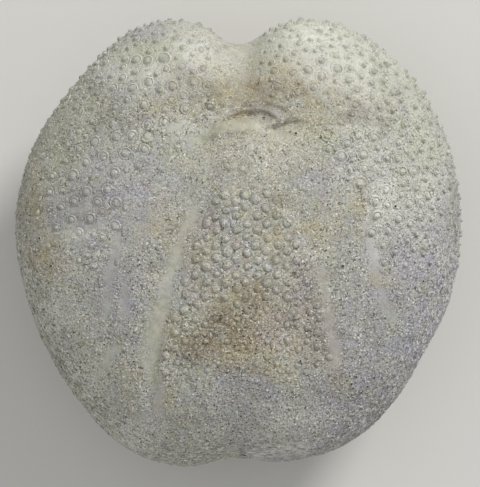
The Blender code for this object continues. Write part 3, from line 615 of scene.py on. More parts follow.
def band_depth(x, y):
    """The smooth bands on both sides of the shield, from 0 away from them to 1 on their middle lines."""
    rows = np.array(sorted(SHIELD))
    edge = np.interp(y, rows[:, 0], rows[:, 2])
    off = (shield_share(x, y) - 1) * edge - BAND_WIDTH * 0.55
    length = smoothstep(-11.5, -8.5, y) * (1 - smoothstep(4.5, 6.5, y))
    return np.exp(-((off / (BAND_WIDTH * 0.5)) ** 2)) * length


def mouth_side_relief(p):
    """How far the surface stands out from the plain shell on the mouth side."""
    x, y, z = seen(p).T
    out = SHIELD_CROWN * np.exp(-(shield_share(x, y) ** 2))
    out *= smoothstep(6.8, 2.0, y) * smoothstep(-12.5, -7, y)
    out -= BAND_DEPTH * band_depth(x, y) * np.where(x < 0.6, 1, RIGHT_BAND_SHARE)
    *hollow, depth = MOUTH_HOLLOW
    out -= depth * bell(x, y, *hollow)
    notch = np.exp(-((x / NOTCH_HALF_WIDTH) ** 2)) * smoothstep(8.0, 10.0, y)
    out -= NOTCH_DEPTH * notch * smoothstep(0.5, 2.5, z - RIM_HEIGHT)
    for form in (MOUTH_SLIT, MOUTH_HORN, MOUTH_RIM, MOUTH_LIP, *FINE_LINES):
        out += ridge(x, y, *form)
    return out


def lens(share, half_width):
    """A petal's half-width at a share of its length."""
    return half_width * np.sin(math.pi * np.clip(share, 0.04, 0.96)) ** 0.5


def petal(x, y, azimuth, length, half_width):
    """How deep in a petal a point is: 0 outside it and 1 on its floor. Its plan is a lens."""
    a = math.radians(azimuth)
    share = (x * math.cos(a) + (y - SUMMIT_Y) * math.sin(a) - PETAL_START) / (length - PETAL_START)
    across = np.abs(-x * math.sin(a) + (y - SUMMIT_Y) * math.cos(a))
    ends = smoothstep(-0.05, 0.3, share) * smoothstep(1.05, 0.8, share)
    return ends * (1 - smoothstep(0.35, 1.2, across / lens(share, half_width)))


def vent_share(p):
    """0 at the middle of the vent on the rear face, 1 at its edge and more away from it."""
    middle_x, middle_z, half_width, half_height = VENT
    away = np.hypot((p[:, 0] - middle_x) / half_width, (p[:, 2] - middle_z) / half_height)
    return np.where(p[:, 1] < -9, away, 9.0)


def dome_side_relief(p):
    """How far the surface stands out from the plain shell on the dome side."""
    x, y, z = p.T
    out = np.zeros(len(p))
    for azimuth, length, half_width, depth in PETALS:
        out -= depth * petal(x, y, azimuth, length, half_width)
    groove = np.exp(-((x / FRONT_GROOVE_HALF_WIDTH) ** 2)) * smoothstep(SUMMIT_Y, SUMMIT_Y + 1.5, y)
    forward = smoothstep(SUMMIT_Y + 0.5, 6, y) * smoothstep(RIM_HEIGHT - 0.5, RIM_HEIGHT - 5, z)
    out -= groove * (FRONT_GROOVE_START + (FRONT_GROOVE_DEPTH - FRONT_GROOVE_START) * forward)
    keel = np.exp(-((x / KEEL_HALF_WIDTH) ** 2)) * smoothstep(-0.5, -3.5, y)
    out += KEEL_HEIGHT * keel * smoothstep(6.5, 3.5, z)
    out -= SUMMIT_DEPTH * np.exp(-(x**2 + (y - SUMMIT_Y) ** 2) / SUMMIT_RADIUS**2)
    rear = smoothstep(-9, -12, y)
    out -= REAR_HOLLOW_DEPTH * rear * bell(x, z, *REAR_HOLLOW)
    hole = vent_share(p)
    out -= VENT_DEPTH * rear * (1 - smoothstep(0.65, 1.05, hole))
    out += VENT_RIM * rear * np.exp(-(((hole - 1.2) / 0.2) ** 2))
    return out


def unevenness(p):
    """Small swells and dents of the worn stone: noise at three sizes, held back on the smooth strips."""
    swell = SWELL_HEIGHT * (rough(p, SWELL_SIZE, 11) - 0.5)
    grain = GRAIN_HEIGHT * (rough(p, GRAIN_SIZE, 21) - 0.5)
    dents = -DENT_DEPTH * smoothstep(0.66, 0.76, rough(p, DENT_SIZE, 31, 2))
    return swell + (grain + dents) * (1 - 0.85 * smoothness(p))


def shell_point(disc, side):
    """Points of the disc on the stone with its relief. The dome's crests are worn level."""
    plain = plain_point(disc, side)
    relief = mouth_side_relief(plain) if side > 0 else dome_side_relief(plain)
    inside = 1 - smoothstep(0.97, 1.0, np.linalg.norm(disc, axis=1))
    relief = (relief + unevenness(plain)) * inside
    points = plain + normal_of(plain_point, disc, side) * relief[:, None]
    points[:, 2] = np.maximum(points[:, 2], 0)
    return points


def disc_of_plan(x, y, side):
    """The disc point of the mouth side seen at a place, or the one of the dome side under it in plan."""
    azimuth = np.arctan2(y, x)
    share = np.hypot(x, y) / outline_radius(azimuth)
    rise, squareness = MOUTH_SIDE_RISE, MOUTH_SIDE_SQUARENESS
    if side > 0:
        share = share * (1 - rise * section(share, squareness) / CAMERA_RISE)
    else:
        rise, squareness = -DOME_DROP, DOME_SQUARENESS_FRONT
    reach = np.linspace(0, 1, 400)
    return polar(np.interp(share, even_share(reach, rise, squareness), reach), azimuth)


def above_rim(z):
    """1 on the mouth side and 0 on the dome side, with a soft step just below the rim."""
    return smoothstep(RIM_HEIGHT - 1, RIM_HEIGHT, z)


def strip_share(p):
    """1 on the bare smooth strips of the mouth side and 0 away from them, with a ragged edge."""
    x, y, z = seen(p).T
    ragged = 2.2 * (rough(p, 0.6, 41, 3) - 0.5)
    smooth = np.zeros(len(p))
    for path, half_width in SMOOTH_STRIPS:
        distance, _ = distance_to_path(x, y, path)
        smooth = np.maximum(smooth, 1 - smoothstep(0.3, 1.5, distance / half_width + ragged))
    return smooth * above_rim(z)


def smoothness(p):
    """How smooth the stone is, from about 0, gritty, to 1: bare strips, GROUND's ellipses, fine patches."""
    x, y, _ = seen(p).T
    calm = np.full(len(p), GROUND_SMOOTHNESS)
    for *ellipse, more in GROUND:
        calm += more * bell(x, y, *ellipse)
    calm += 0.5 * (rough(p, 0.9, 43, 3) - 0.5) * smoothstep(0.1, 0.4, calm)
    calm += 0.15 * smoothstep(0.55, 0.68, rough(p, 1.2, 47))
    return np.maximum(0.9 * strip_share(p), calm)


def rimness(p):
    """1 on the steep rims of the flanks and the rear of the mouth side, 0 away from them."""
    _, y, z = seen(p).T
    rise = z - RIM_HEIGHT
    return smoothstep(4.8, 2.8, rise) * smoothstep(-3, 0, rise) * smoothstep(3, -2, y)


def pale_ground(p):
    """1 on the two lobes of the front, where dark bosses stand on bare pale ground, and 0 away from them."""
    x, y, z = seen(p).T
    return smoothstep(9.2, 11.2, y + 0.25 * np.abs(x - 0.8)) * above_rim(z)


# ---------------------------------------------------------------- where tubercles and granules stand


# The sizes a user can change, in millimetres.
Sizes = collections.namedtuple("Sizes", "boss column row ring_scale fill_spacing small_spacing pit_spacing")


def shield_tubercles(sizes):
    """Places, in plan, and boss radii of the shield's tubercles: columns, every second one shifted."""
    rng = np.random.default_rng(SEED)
    columns = np.arange(-SHIELD_COLUMNS, SHIELD_COLUMNS + 1)
    column, row = (v.ravel() for v in np.meshgrid(columns, np.arange(SHIELD_ROWS), indexing="ij"))
    y = SHIELD_FRONT - (row + 0.5 * (column % 2)) * sizes.row + rng.normal(0, 0.06, len(row))
    x = SHIELD_MIDDLE_X + column * sizes.column + rng.normal(0, 0.05, len(row))
    boss = sizes.boss * (1 - 0.3 * smoothstep(-5.5, -8.5, y)) * rng.uniform(0.9, 1.08, len(row))
    kept = (shield_share(x, y) < 0.97) & (y > SHIELD_REAR) & (y < SHIELD_FRONT)
    return x[kept], y[kept], boss[kept]


def bare(p):
    """Where the mouth side has no large tubercles: the shield, the bands and strips beside it, the mouth."""
    x, y, _ = seen(p).T
    strip = 1.0 + 3.4 / np.interp(y, [-9, 3, 6], [5.4, 1.9, 1.2])
    middle_x, middle_y, half_width, half_length = MOUTH_CLEARING
    return (
        ((shield_share(x, y) < strip) & (y < 7.5) & (y > -12.5))
        | (((x - middle_x) / half_width) ** 2 + ((y - middle_y) / half_length) ** 2 < 1)
        | ((np.abs(x) < LANE_HALF_WIDTH) & (y > LANE_START))
    )


def darts(count, reach_limit, seed):
    """Random points of the disc, evenly thrown."""
    rng = np.random.default_rng(seed)
    reach, azimuth = np.sqrt(rng.uniform(0, reach_limit, count)), rng.uniform(0, math.tau, count)
    return polar(reach, azimuth)


def kept_apart(places, spacing):
    """The darts, in the order thrown, that land further than their spacing from all kept before them."""
    kept = []
    for i, place in enumerate(places):
        if (np.linalg.norm(places[kept] - place, axis=1) > spacing[i]).all():
            kept.append(i)
    return kept


def in_petal(p):
    """The deepest petal value at points of the dome side."""
    return np.max([petal(p[:, 0], p[:, 1], a, length, w * 1.2) for a, length, w, _ in PETALS], axis=0)


def dome_bare(p):
    """Where the dome side has no tubercles: petals, front groove, summit and vent."""
    x, y, _ = p.T
    return (
        (in_petal(p) > 0.05)
        | ((np.abs(x) < GROOVE_CLEARING) & (y > SUMMIT_Y))
        | (np.hypot(x, y - SUMMIT_Y) < SUMMIT_CLEARING)
        | (vent_share(p) < VENT_CLEARING)
    )


def jittered_disc(spacing, seed, limit=0.985):
    """Disc points on a hexagonal lattice about spacing millimetres apart, each shaken by a third of it."""
    step = spacing / DISC_SCALE
    n = int(1.2 / step)
    i, j = np.meshgrid(np.arange(-n, n + 1), np.arange(-n, n + 1))
    points = np.column_stack([((i + 0.5 * (j % 2)) * step).ravel(), (j * step * math.sqrt(0.75)).ravel()])
    points += np.random.default_rng(seed).uniform(-0.34, 0.34, points.shape) * step
    return points[np.linalg.norm(points, axis=1) < limit]


# Where small shapes stand on the stone: points, outward normals, radii, and how tall each is drawn.
Stand = collections.namedtuple("Stand", "place normal radius height")


def stand_on(disc, side, radius, height=1.0):
    """Shapes standing on disc points of one side."""
    radius, height = (np.broadcast_to(np.asarray(v, float), len(disc)) for v in (radius, height))
    return Stand(shell_point(disc, side), normal_of(shell_point, disc, side), radius, height)


def some(stand, kept):
    """The shapes of a stand that a mask keeps."""
    return Stand(*(values[kept] for values in stand))


def joined(*stands):
    """Several stands in one."""
    return Stand(*(np.concatenate(values) for values in zip(*stands)))


def clear_of(stand, others, reaches):
    """The shapes of a stand whose middles keep clear of the shapes of other stands. How far is given for each
    of those stands, in its shapes' radii."""
    for other, reach in zip(others, reaches):
        stand = some(stand, nearest_share(stand.place, other.place, other.radius * reach + CLEARANCE) > 1)
    return stand


def above_floor(stand):
    """Leaves out the shapes that would reach below the resting face."""
    edge = stand.place[:, 2] - 1.1 * stand.radius * np.sqrt(1 - stand.normal[:, 2] ** 2)
    tip = stand.place[:, 2] + 0.6 * stand.normal[:, 2] * stand.radius
    return some(stand, np.minimum(edge, tip) > 0.01)


def leaning_back(stand, share):
    """Shapes tilted to the rear: their front edge meets the shell and their rear edge stands out."""
    return stand._replace(normal=unit_rows(stand.normal + np.array([0, -1, 0]) * share))


def shield_wear(x, y):
    """How worn the rear middle of the shield is, from 0 to 1."""
    return np.exp(-(((x - 0.2) / 2.8) ** 2)) * smoothstep(-2.9, -5.2, y)


@functools.cache
def shield_stand(sizes):
    """The shield's domed tubercles, smaller, lower and fewer where the shield is worn."""
    x, y, boss = shield_tubercles(sizes)
    rng = np.random.default_rng(SEED + 6)
    wear = shield_wear(x, y)
    radius = boss * (1 - 0.28 * wear) * rng.uniform(0.88, 1.08, len(x))
    height = (0.72 - 0.25 * wear) * rng.uniform(0.65, 1.15, len(x))
    stand = stand_on(disc_of_plan(x, y, +1), +1, radius, height)
    return leaning_back(some(stand, rng.uniform(0, 1, len(x)) > 0.3 * wear), SHIELD_LEAN)


@functools.cache
def placed_stand(sizes):
    """The clearest tubercles, flatter on the left flank and steeper towards the right rim."""
    x, y, radius = np.array(PLACED_TUBERCLES).T
    rng = np.random.default_rng(SEED + 7)
    height = 0.62 + 0.58 * smoothstep(3, 11, x) + 0.2 * smoothstep(8, 11.5, y)
    height *= rng.uniform(0.75, 1.2, len(x))
    height *= np.where(radius < RINGED_FROM, 1.3, 1)
    stand = stand_on(disc_of_plan(x, y, +1), +1, radius * sizes.ring_scale, height)
    return leaning_back(stand, PLACED_LEAN)


def ringed_stand(sizes):
    """The clear tubercles wide enough to show a ring, a boss and a knob."""
    clear = placed_stand(sizes)
    return some(clear, clear.radius >= RINGED_FROM * sizes.ring_scale)


def fill_stand(sizes):
    """The tubercles of the mouth side that fill in between the clear ones."""
    rng = np.random.default_rng(SEED + 8)
    thrown = darts(MOUTH_DARTS, 0.97, SEED + 9)
    places = plain_point(thrown, +1)
    x, y, z = seen(places).T
    on_shield = (shield_share(x, y) < 1.04) & (y > SHIELD_REAR - 0.3) & (y < SHIELD_FRONT + 0.4)
    free = (away_from(x, y, MOUTH_SLIT) > 0.75) & (away_from(x, y, MOUTH_HORN) > 0.55)
    free &= ~on_shield & (strip_share(places) < 0.25) & ~bare(places)
    free &= (y > -3.5) | (z < RIM_HEIGHT + 2.5) & (y > -9)
    thrown, places = thrown[free], places[free]
    rim = smoothstep(3.6, 1.2, places[:, 2] - RIM_HEIGHT)
    first = placed_stand(sizes)
    gap = nearest_share(places, first.place, first.radius + 0.3)
    thrown, places, rim = (v[gap > 1] for v in (thrown, places, rim))
    lobes = pale_ground(places)
    kept = kept_apart(places, sizes.fill_spacing - 0.15 * rim)
    radius = (FILL_RADIUS + 0.06 * rim[kept] + 0.06 * lobes[kept]) * rng.uniform(0.8, 1.2, len(kept))
    height = 0.6 + 0.6 * smoothstep(4, 12, places[kept, 0]) + 0.4 * smoothstep(8, 11.5, places[kept, 1])
    height *= rng.uniform(0.8, 1.3, len(kept)) * (0.35 + 0.65 * smoothstep(-4, 1, places[kept, 1]))
    return leaning_back(stand_on(thrown[kept], +1, radius, height), FILL_LEAN)


def dome_stand():
    """The tubercles of the dome side, larger and wider apart towards its middle line."""
    thrown = darts(DOME_DARTS, 0.96, SEED + 2)
    places = plain_point(thrown, -1)
    free = ~dome_bare(places)
    thrown, places = thrown[free], places[free]
    larger = 1 + 0.3 * np.exp(-((places[:, 0] / 4.5) ** 2))
    kept = kept_apart(places, DOME_SPACING * larger)
    return stand_on(thrown[kept], -1, DOME_RADIUS * larger[kept], 0.8)


@functools.cache
def middling_stand(sizes):
    """The narrower of the clear tubercles, those that fill in between them, and the dome side's."""
    clear = placed_stand(sizes)
    narrow = some(clear, clear.radius < RINGED_FROM * sizes.ring_scale)
    return above_floor(joined(narrow, fill_stand(sizes), dome_stand()))


@functools.cache
def small_stand(sizes):
    """The smallest tubercles, like scales at the rear, on a shaken lattice between the others."""
    rng = np.random.default_rng(SEED + 3)
    stands = []
    for side, spacing in ((+1, sizes.small_spacing), (-1, sizes.small_spacing + DOME_SMALL_EXTRA)):
        disc = jittered_disc(spacing, SEED + 4 + side)
        plain = plain_point(disc, side)
        x, y, _ = seen(plain).T
        rear = smoothstep(-2, -8, y - 4 * smoothstep(5, 10, x)) * (side > 0)
        radius = rng.uniform(*SMALL_RADII, len(disc)) * (1 + 0.3 * rear)
        stand = stand_on(disc, side, radius, rng.uniform(0.4, 1.2, len(disc)))
        if side > 0:
            on_shield = (shield_share(x, y) < 1) & (y > SHIELD_REAR) & (shield_wear(x, y) < 0.25)
            free = ~on_shield & (strip_share(plain) < 0.3) & (away_from(x, y, MOUTH_SLIT) > 0.45)
            free &= rng.uniform(0, 1, len(x)) < 1 - 0.7 * smoothness(plain)
            stand = leaning_back(some(stand, free), SMALL_LEAN)
        else:
            stand = some(stand, ~dome_bare(plain))
        stands.append(stand)
    others = (shield_stand(sizes), placed_stand(sizes), middling_stand(sizes), hole_stand())
    return above_floor(clear_of(joined(*stands), others, (1.35, 1.2, 1.2, 2.0)))


def hole_stand():
    """The clear small holes of the mouth side, set a little proud so that no dent buries them."""
    x, y, radius = np.array(HOLES).T
    clear = stand_on(disc_of_plan(x, y, +1), +1, radius)
    return clear._replace(place=clear.place + HOLE_LIFT * clear.normal)


def pit_stand(sizes):
    """Small dark holes: the clear ones, those strewn over the rear and the shield, and the dome's pores."""
    disc = jittered_disc(sizes.pit_spacing, SEED + 60, 0.97)
    plain = plain_point(disc, +1)
    rng = np.random.default_rng(SEED + 61)
    x, y, _ = seen(plain).T
    cluster = bell(x, y, *PIT_CLUSTER)
    share = 0.1 + 0.25 * smoothstep(-5, -10, y) + 0.4 * shield_wear(x, y) + 0.5 * cluster
    share *= 0.4 + 1.2 * noise(plain, 1.5, 63)
    free = (rng.uniform(0, 1, len(x)) < share) & (smoothness(plain) < 0.4)
    strewn = stand_on(disc, +1, rng.uniform(*PIT_RADII, len(disc)) * (1 + 0.3 * cluster))
    strewn = clear_of(some(strewn, free), (shield_stand(sizes), placed_stand(sizes)), (0.9, 0.9))
    return joined(hole_stand(), strewn, pore_stand())


def pore_stand():
    """The pores of the dome: two pairs of rows down each petal, and four holes round the summit."""
    rows = []
    for azimuth, length, half_width, _ in PETALS:
        a = math.radians(azimuth)
        along = np.arange(PETAL_START + 0.35, length - 0.35, PORE_STEP)
        wide = lens((along - PETAL_START) / (length - PETAL_START), half_width)
        for share in PORE_ROWS:
            across = share * wide
            x = along * math.cos(a) - across * math.sin(a)
            rows.append(np.column_stack([x, SUMMIT_Y + along * math.sin(a) + across * math.cos(a)]))
    rows.append(polar(SUMMIT_PORE_REACH, np.radians(SUMMIT_PORES)) + [0, SUMMIT_Y])
    x, y = np.concatenate(rows).T
    radius = np.full(len(x), PORE_RADIUS)
    radius[-len(SUMMIT_PORES) :] = SUMMIT_PORE_RADIUS
    return above_floor(stand_on(disc_of_plan(x, y, -1), -1, radius))


def granule_stand(sizes, side, spacing, radius, seed):
    """Granules between the tubercles, none on smooth strips, in the mouth's slit or in the vent."""
    disc = jittered_disc(spacing, seed, 0.995)
    plain = plain_point(disc, side)
    rng = np.random.default_rng(seed + 1)
    if side > 0:
        x, y, _ = seen(plain).T
        free = smoothness(plain) < rng.uniform(0.3, 1.1, len(disc))
        free &= away_from(x, y, MOUTH_SLIT) > 0.3
    else:
        summit = np.hypot(plain[:, 0], plain[:, 1] - SUMMIT_Y) < 0.8
        free = ~dome_bare(plain) | (in_petal(plain) < 0.05) & ~summit
    free &= rng.uniform(0, 1, len(disc)) < 0.9
    disc = disc[free]
    count = len(disc)
    stand = stand_on(disc, side, radius * rng.uniform(0.65, 1.35, count), rng.uniform(0.5, 1.3, count))
    others = [kind(sizes) for kind in (shield_stand, placed_stand, middling_stand, small_stand)]
    return above_floor(clear_of(stand, (*others, hole_stand()), (1.25, 1.02, 1.0, 0.9, 1.1)))


# ---------------------------------------------------------------- colour masks


def stain_masks(points):
    """Each stain kind's strength at points of the stone: soft ellipses on the mouth side, pushed about by
    noise, and patches of noise on the dome side."""
    plan_x, plan_y, _ = seen(points).T
    x = plan_x + STAIN_PUSH * (rough(points, STAIN_PUSH_SIZE, 61) - 0.5)
    y = plan_y + STAIN_PUSH * (rough(points, STAIN_PUSH_SIZE, 71) - 0.5)
    mouth_side = smoothstep(RIM_HEIGHT - 5, RIM_HEIGHT - 1, points[:, 2])
    masks = {}
    for n, (kind, spots) in enumerate(STAINS.items()):
        mask = np.zeros(len(points))
        for *ellipse, strength in spots:
            mask = together(mask, np.clip(STAIN_GAIN * strength * bell(x, y, *ellipse), 0, 1))
        for _, path, half_width, strength in (line for line in STAINED_LINES if line[0] == kind):
            away, _ = distance_to_path(plan_x, plan_y, path)
            mask = together(mask, strength * (1 - smoothstep(0.4, 1.2, away / half_width)))
        patches = rough(points, DOME_STAIN_SIZE, 81 + 10 * n)
        under = DOME_STAIN_STRENGTH * smoothstep(0.52, 0.72, patches)
        masks[kind] = mask * mouth_side + under * (1 - mouth_side)
    return masks


# ---------------------------------------------------------------- meshes


def piece(name, points, faces, masks, material):
    """A mesh object from arrays in millimetres: faces is a list of index arrays with one row a face. It takes
    the place of an earlier object of its name."""
    if not len(points):
        raise ValueError(f"{name} has come out empty: its spacing or its radius is too large")
    if name in bpy.data.objects:
        bpy.data.objects.remove(bpy.data.objects[name])
    mesh = bpy.data.meshes.new(name)
    mesh.vertices.add(len(points))
    mesh.vertices.foreach_set("co", (points * MM).astype(np.float32).ravel())
    loops = np.concatenate([f.ravel() for f in faces])
    sizes = np.concatenate([np.full(len(f), f.shape[1]) for f in faces])
    mesh.loops.add(len(loops))
    mesh.loops.foreach_set("vertex_index", loops.astype(np.int32))
    mesh.polygons.add(len(sizes))
    mesh.polygons.foreach_set("loop_start", np.concatenate([[0], np.cumsum(sizes)[:-1]]).astype(np.int32))
    mesh.update(calc_edges=True)
    mesh.shade_smooth()
    for kind, values in masks.items():
        mesh.attributes.new(kind, "FLOAT", "POINT").data.foreach_set("value", values.astype(np.float32))
    mesh.materials.append(material)
    made = bpy.data.objects.new(name, mesh)
    bpy.context.scene.collection.objects.link(made)
    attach(made, BODY)
    return made


def turned(profile, sides):
    """Unit points, faces and shades of a profile turned about +Z: rings from foot to tip, a tip point and a
    closed foot."""
    circle = polar(1, np.arange(sides) * math.tau / sides)
    rings = [np.column_stack([r * circle, np.full(sides, h)]) for r, h, _ in profile[:-1]]
    points = np.concatenate(rings + [[[0, 0, profile[-1][1]]]])
    shade = np.concatenate([np.full(sides, row[2]) for row in profile[:-1]] + [[profile[-1][2]]])
    low = (np.arange(len(rings) - 1)[:, None] * sides + np.arange(sides)).ravel()
    after = np.where(low % sides == sides - 1, low - sides + 1, low + 1)
    quads = np.column_stack([low, after, after + sides, low + sides])
    top = (len(rings) - 1) * sides + np.arange(sides)
    tips = np.column_stack([top, np.roll(top, -1), np.full(sides, len(points) - 1)])
    foot = np.arange(sides)[::-1][None]
    return points, [quads, tips, foot], shade


def spread(name, profile, sides, stand, material, seed, narrowest=0.86, calm=0.3):
    """Copies of a turned shape joined in one mesh: each scaled by its radius, squeezed a little, turned at
    random about its normal, stood along it and moved to its place."""
    unit, faces, shade = turned(profile, sides)
    count = len(stand.place)
    aside = unit_rows(np.cross(stand.normal, np.random.default_rng(seed).normal(size=(count, 3))))
    ahead = np.cross(stand.normal, aside)
    squeeze = np.random.default_rng(seed + 1).uniform(narrowest, 1.1, (count, 2))
    size = stand.radius[:, None]
    upright = stand.normal * size * stand.height[:, None]
    axes = np.stack([aside * size * squeeze[:, :1], ahead * size * squeeze[:, 1:], upright], axis=1)
    points = (stand.place[:, None] + unit @ axes).reshape(-1, 3)
    shift = np.arange(count)[:, None, None] * len(unit)
    joined_faces = [(f[None] + shift).reshape(-1, f.shape[1]) for f in faces]
    masks = {kind: np.repeat(values, len(unit)) for kind, values in stain_masks(stand.place).items()}
    # painted shade: the middles of the pits and holes are near black
    masks["hole"] = np.tile(np.clip(shade - 1, 0, 1), count)
    reach = np.hypot(unit[:, 0], unit[:, 1])
    lobe = pale_ground(stand.place)
    dark = 0.6 * np.outer(lobe, reach < 0.9)
    halo = 0.6 * np.outer(lobe, (reach > 0.94) & (shade > 0))
    # the hollow mask is dirt and painted shade at the feet and in the ring grooves; the tip mask is wear and
    # a painted highlight; both are a little stronger on the front lobes, whose darker bosses and pale halos
    # are the stone's own tone
    worn = 0.8 + 0.2 * lobe[:, None]
    masks["hollow"] = np.maximum(np.clip(shade, 0, 1) * worn * (1 - halo), dark).ravel()
    masks["tip"] = np.maximum(np.clip(-shade, 0, 1) * worn * (1 - 0.6 * dark), halo).ravel()
    masks["smooth"] = np.repeat(np.maximum(smoothness(stand.place), calm), len(unit))
    masks["rim"] = np.repeat(rimness(stand.place), len(unit))
    return piece(name, points, joined_faces, masks, material)


def grid_line(cells, middle, width, gain):
    """Marks from -1 to 1 that are closer round a middle: even steps of a running sum of 1 plus a bell."""
    place = np.linspace(-1, 1, 2001)
    total = np.cumsum(1 + gain * np.exp(-(((place - middle) / width) ** 2)))
    total = (total - total[0]) / (total[-1] - total[0])
    return np.interp(np.linspace(0, 1, cells + 1), total, place)


def disc_grid(cells):
    """Points of the unit disc from a square grid: each square ring becomes a circle of the same reach. The
    grid is closer round the mouth."""
    u, v = np.meshgrid(grid_line(cells, *CLOSER_ACROSS), grid_line(cells, *CLOSER_ALONG), indexing="ij")
    wide = np.abs(u) >= np.abs(v)
    reach = np.where(wide, u, v)
    flat = np.where(wide, math.pi / 4 * v / np.where(u == 0, 1, u), 0)
    tall = np.where(wide, 0, math.pi / 2 - math.pi / 4 * u / np.where(v == 0, 1, v))
    return polar(reach.ravel(), np.where(wide, flat, tall).ravel())


def grid_faces(cells):
    """Quads of a square grid of points, turned to face +Z."""
    corner = (np.arange(cells)[:, None] * (cells + 1) + np.arange(cells)).ravel()
    return np.column_stack([corner, corner + cells + 1, corner + cells + 2, corner + 1])


def areole_sink(points, sizes):
    """The shallow sunken ring that each ringed or domed tubercle stands in."""
    stands = joined(placed_stand(sizes), middling_stand(sizes), shield_stand(sizes))
    stands = some(stands, stands.place[:, 2] > RIM_HEIGHT - 1)
    share = nearest_share(points, stands.place, stands.radius)
    return AREOLE_DEPTH * (1 - smoothstep(0.95, 1.3, share))


def mouth_dirt_and_shade(points):
    """Dirt and painted shade in the mouth's slit and horn and in the fine lines, from 0 to 1."""
    x, y, _ = seen(points).T
    slit, horn = away_from(x, y, MOUTH_SLIT), away_from(x, y, MOUTH_HORN)
    dirt_and_shade = np.maximum(0.85 * (1 - smoothstep(0.01, 0.1, slit)), 0.7 * (1 - smoothstep(0.03, 0.18, horn)))
    for form in FINE_LINES:
        dirt_and_shade = np.maximum(dirt_and_shade, 0.6 * (1 - smoothstep(0.3, 0.7, away_from(x, y, form) / form[1])))
    return dirt_and_shade


def stone_surface(cells, sizes):
    """Points, faces and masks of the whole stone: two wrapped grids that share the widest ring."""
    disc = disc_grid(cells)
    count = len(disc)
    index = np.arange(count)
    row, column = index // (cells + 1), index % (cells + 1)
    edge = (row == 0) | (row == cells) | (column == 0) | (column == cells)
    inner = ~edge
    upper, lower = shell_point(disc, +1), shell_point(disc[inner], -1)
    sink = areole_sink(upper, sizes) * inner
    upper -= normal_of(shell_point, disc, +1) * sink[:, None]
    under = np.where(edge, index, count - 1 + np.cumsum(inner))
    faces = grid_faces(cells)
    points = np.concatenate([upper, lower])
    smooth = smoothness(upper)
    # painted shade with dirt: darker in the mouth's slit and lines, in the sunken rings, in the dome's petals
    # and in the vent; the gritty ground is a little dirtier
    dirt_and_shade = np.maximum(np.maximum(mouth_dirt_and_shade(upper), 6 * sink), 0.32 - 0.1 * smooth)
    sunk = np.maximum(0.6 * smoothstep(0.2, 0.9, in_petal(lower)), 0.3)
    sunk = np.maximum(sunk, 0.75 * smoothstep(1.05, 0.75, vent_share(lower)))
    masks = stain_masks(points)
    masks["hollow"] = np.concatenate([dirt_and_shade, sunk])
    masks["smooth"] = np.concatenate([smooth, smoothness(lower)])
    masks["rim"] = rimness(points)
    masks["tip"] = masks["hole"] = np.zeros(len(points))
    return points, [faces, under[faces][:, ::-1]], masks


# ---------------------------------------------------------------- materials


def add_node(tree, kind, links=(), **settings):
    """Adds a node, sets its properties and input values, and links sockets into it by (input, socket)."""
    node = tree.nodes.new(kind)
    for key, value in settings.items():
        if key in node.inputs:
            node.inputs[key].default_value = value
        else:
            setattr(node, key, value)
    for key, socket in links:
        tree.links.new(socket, node.inputs[key])
    return node


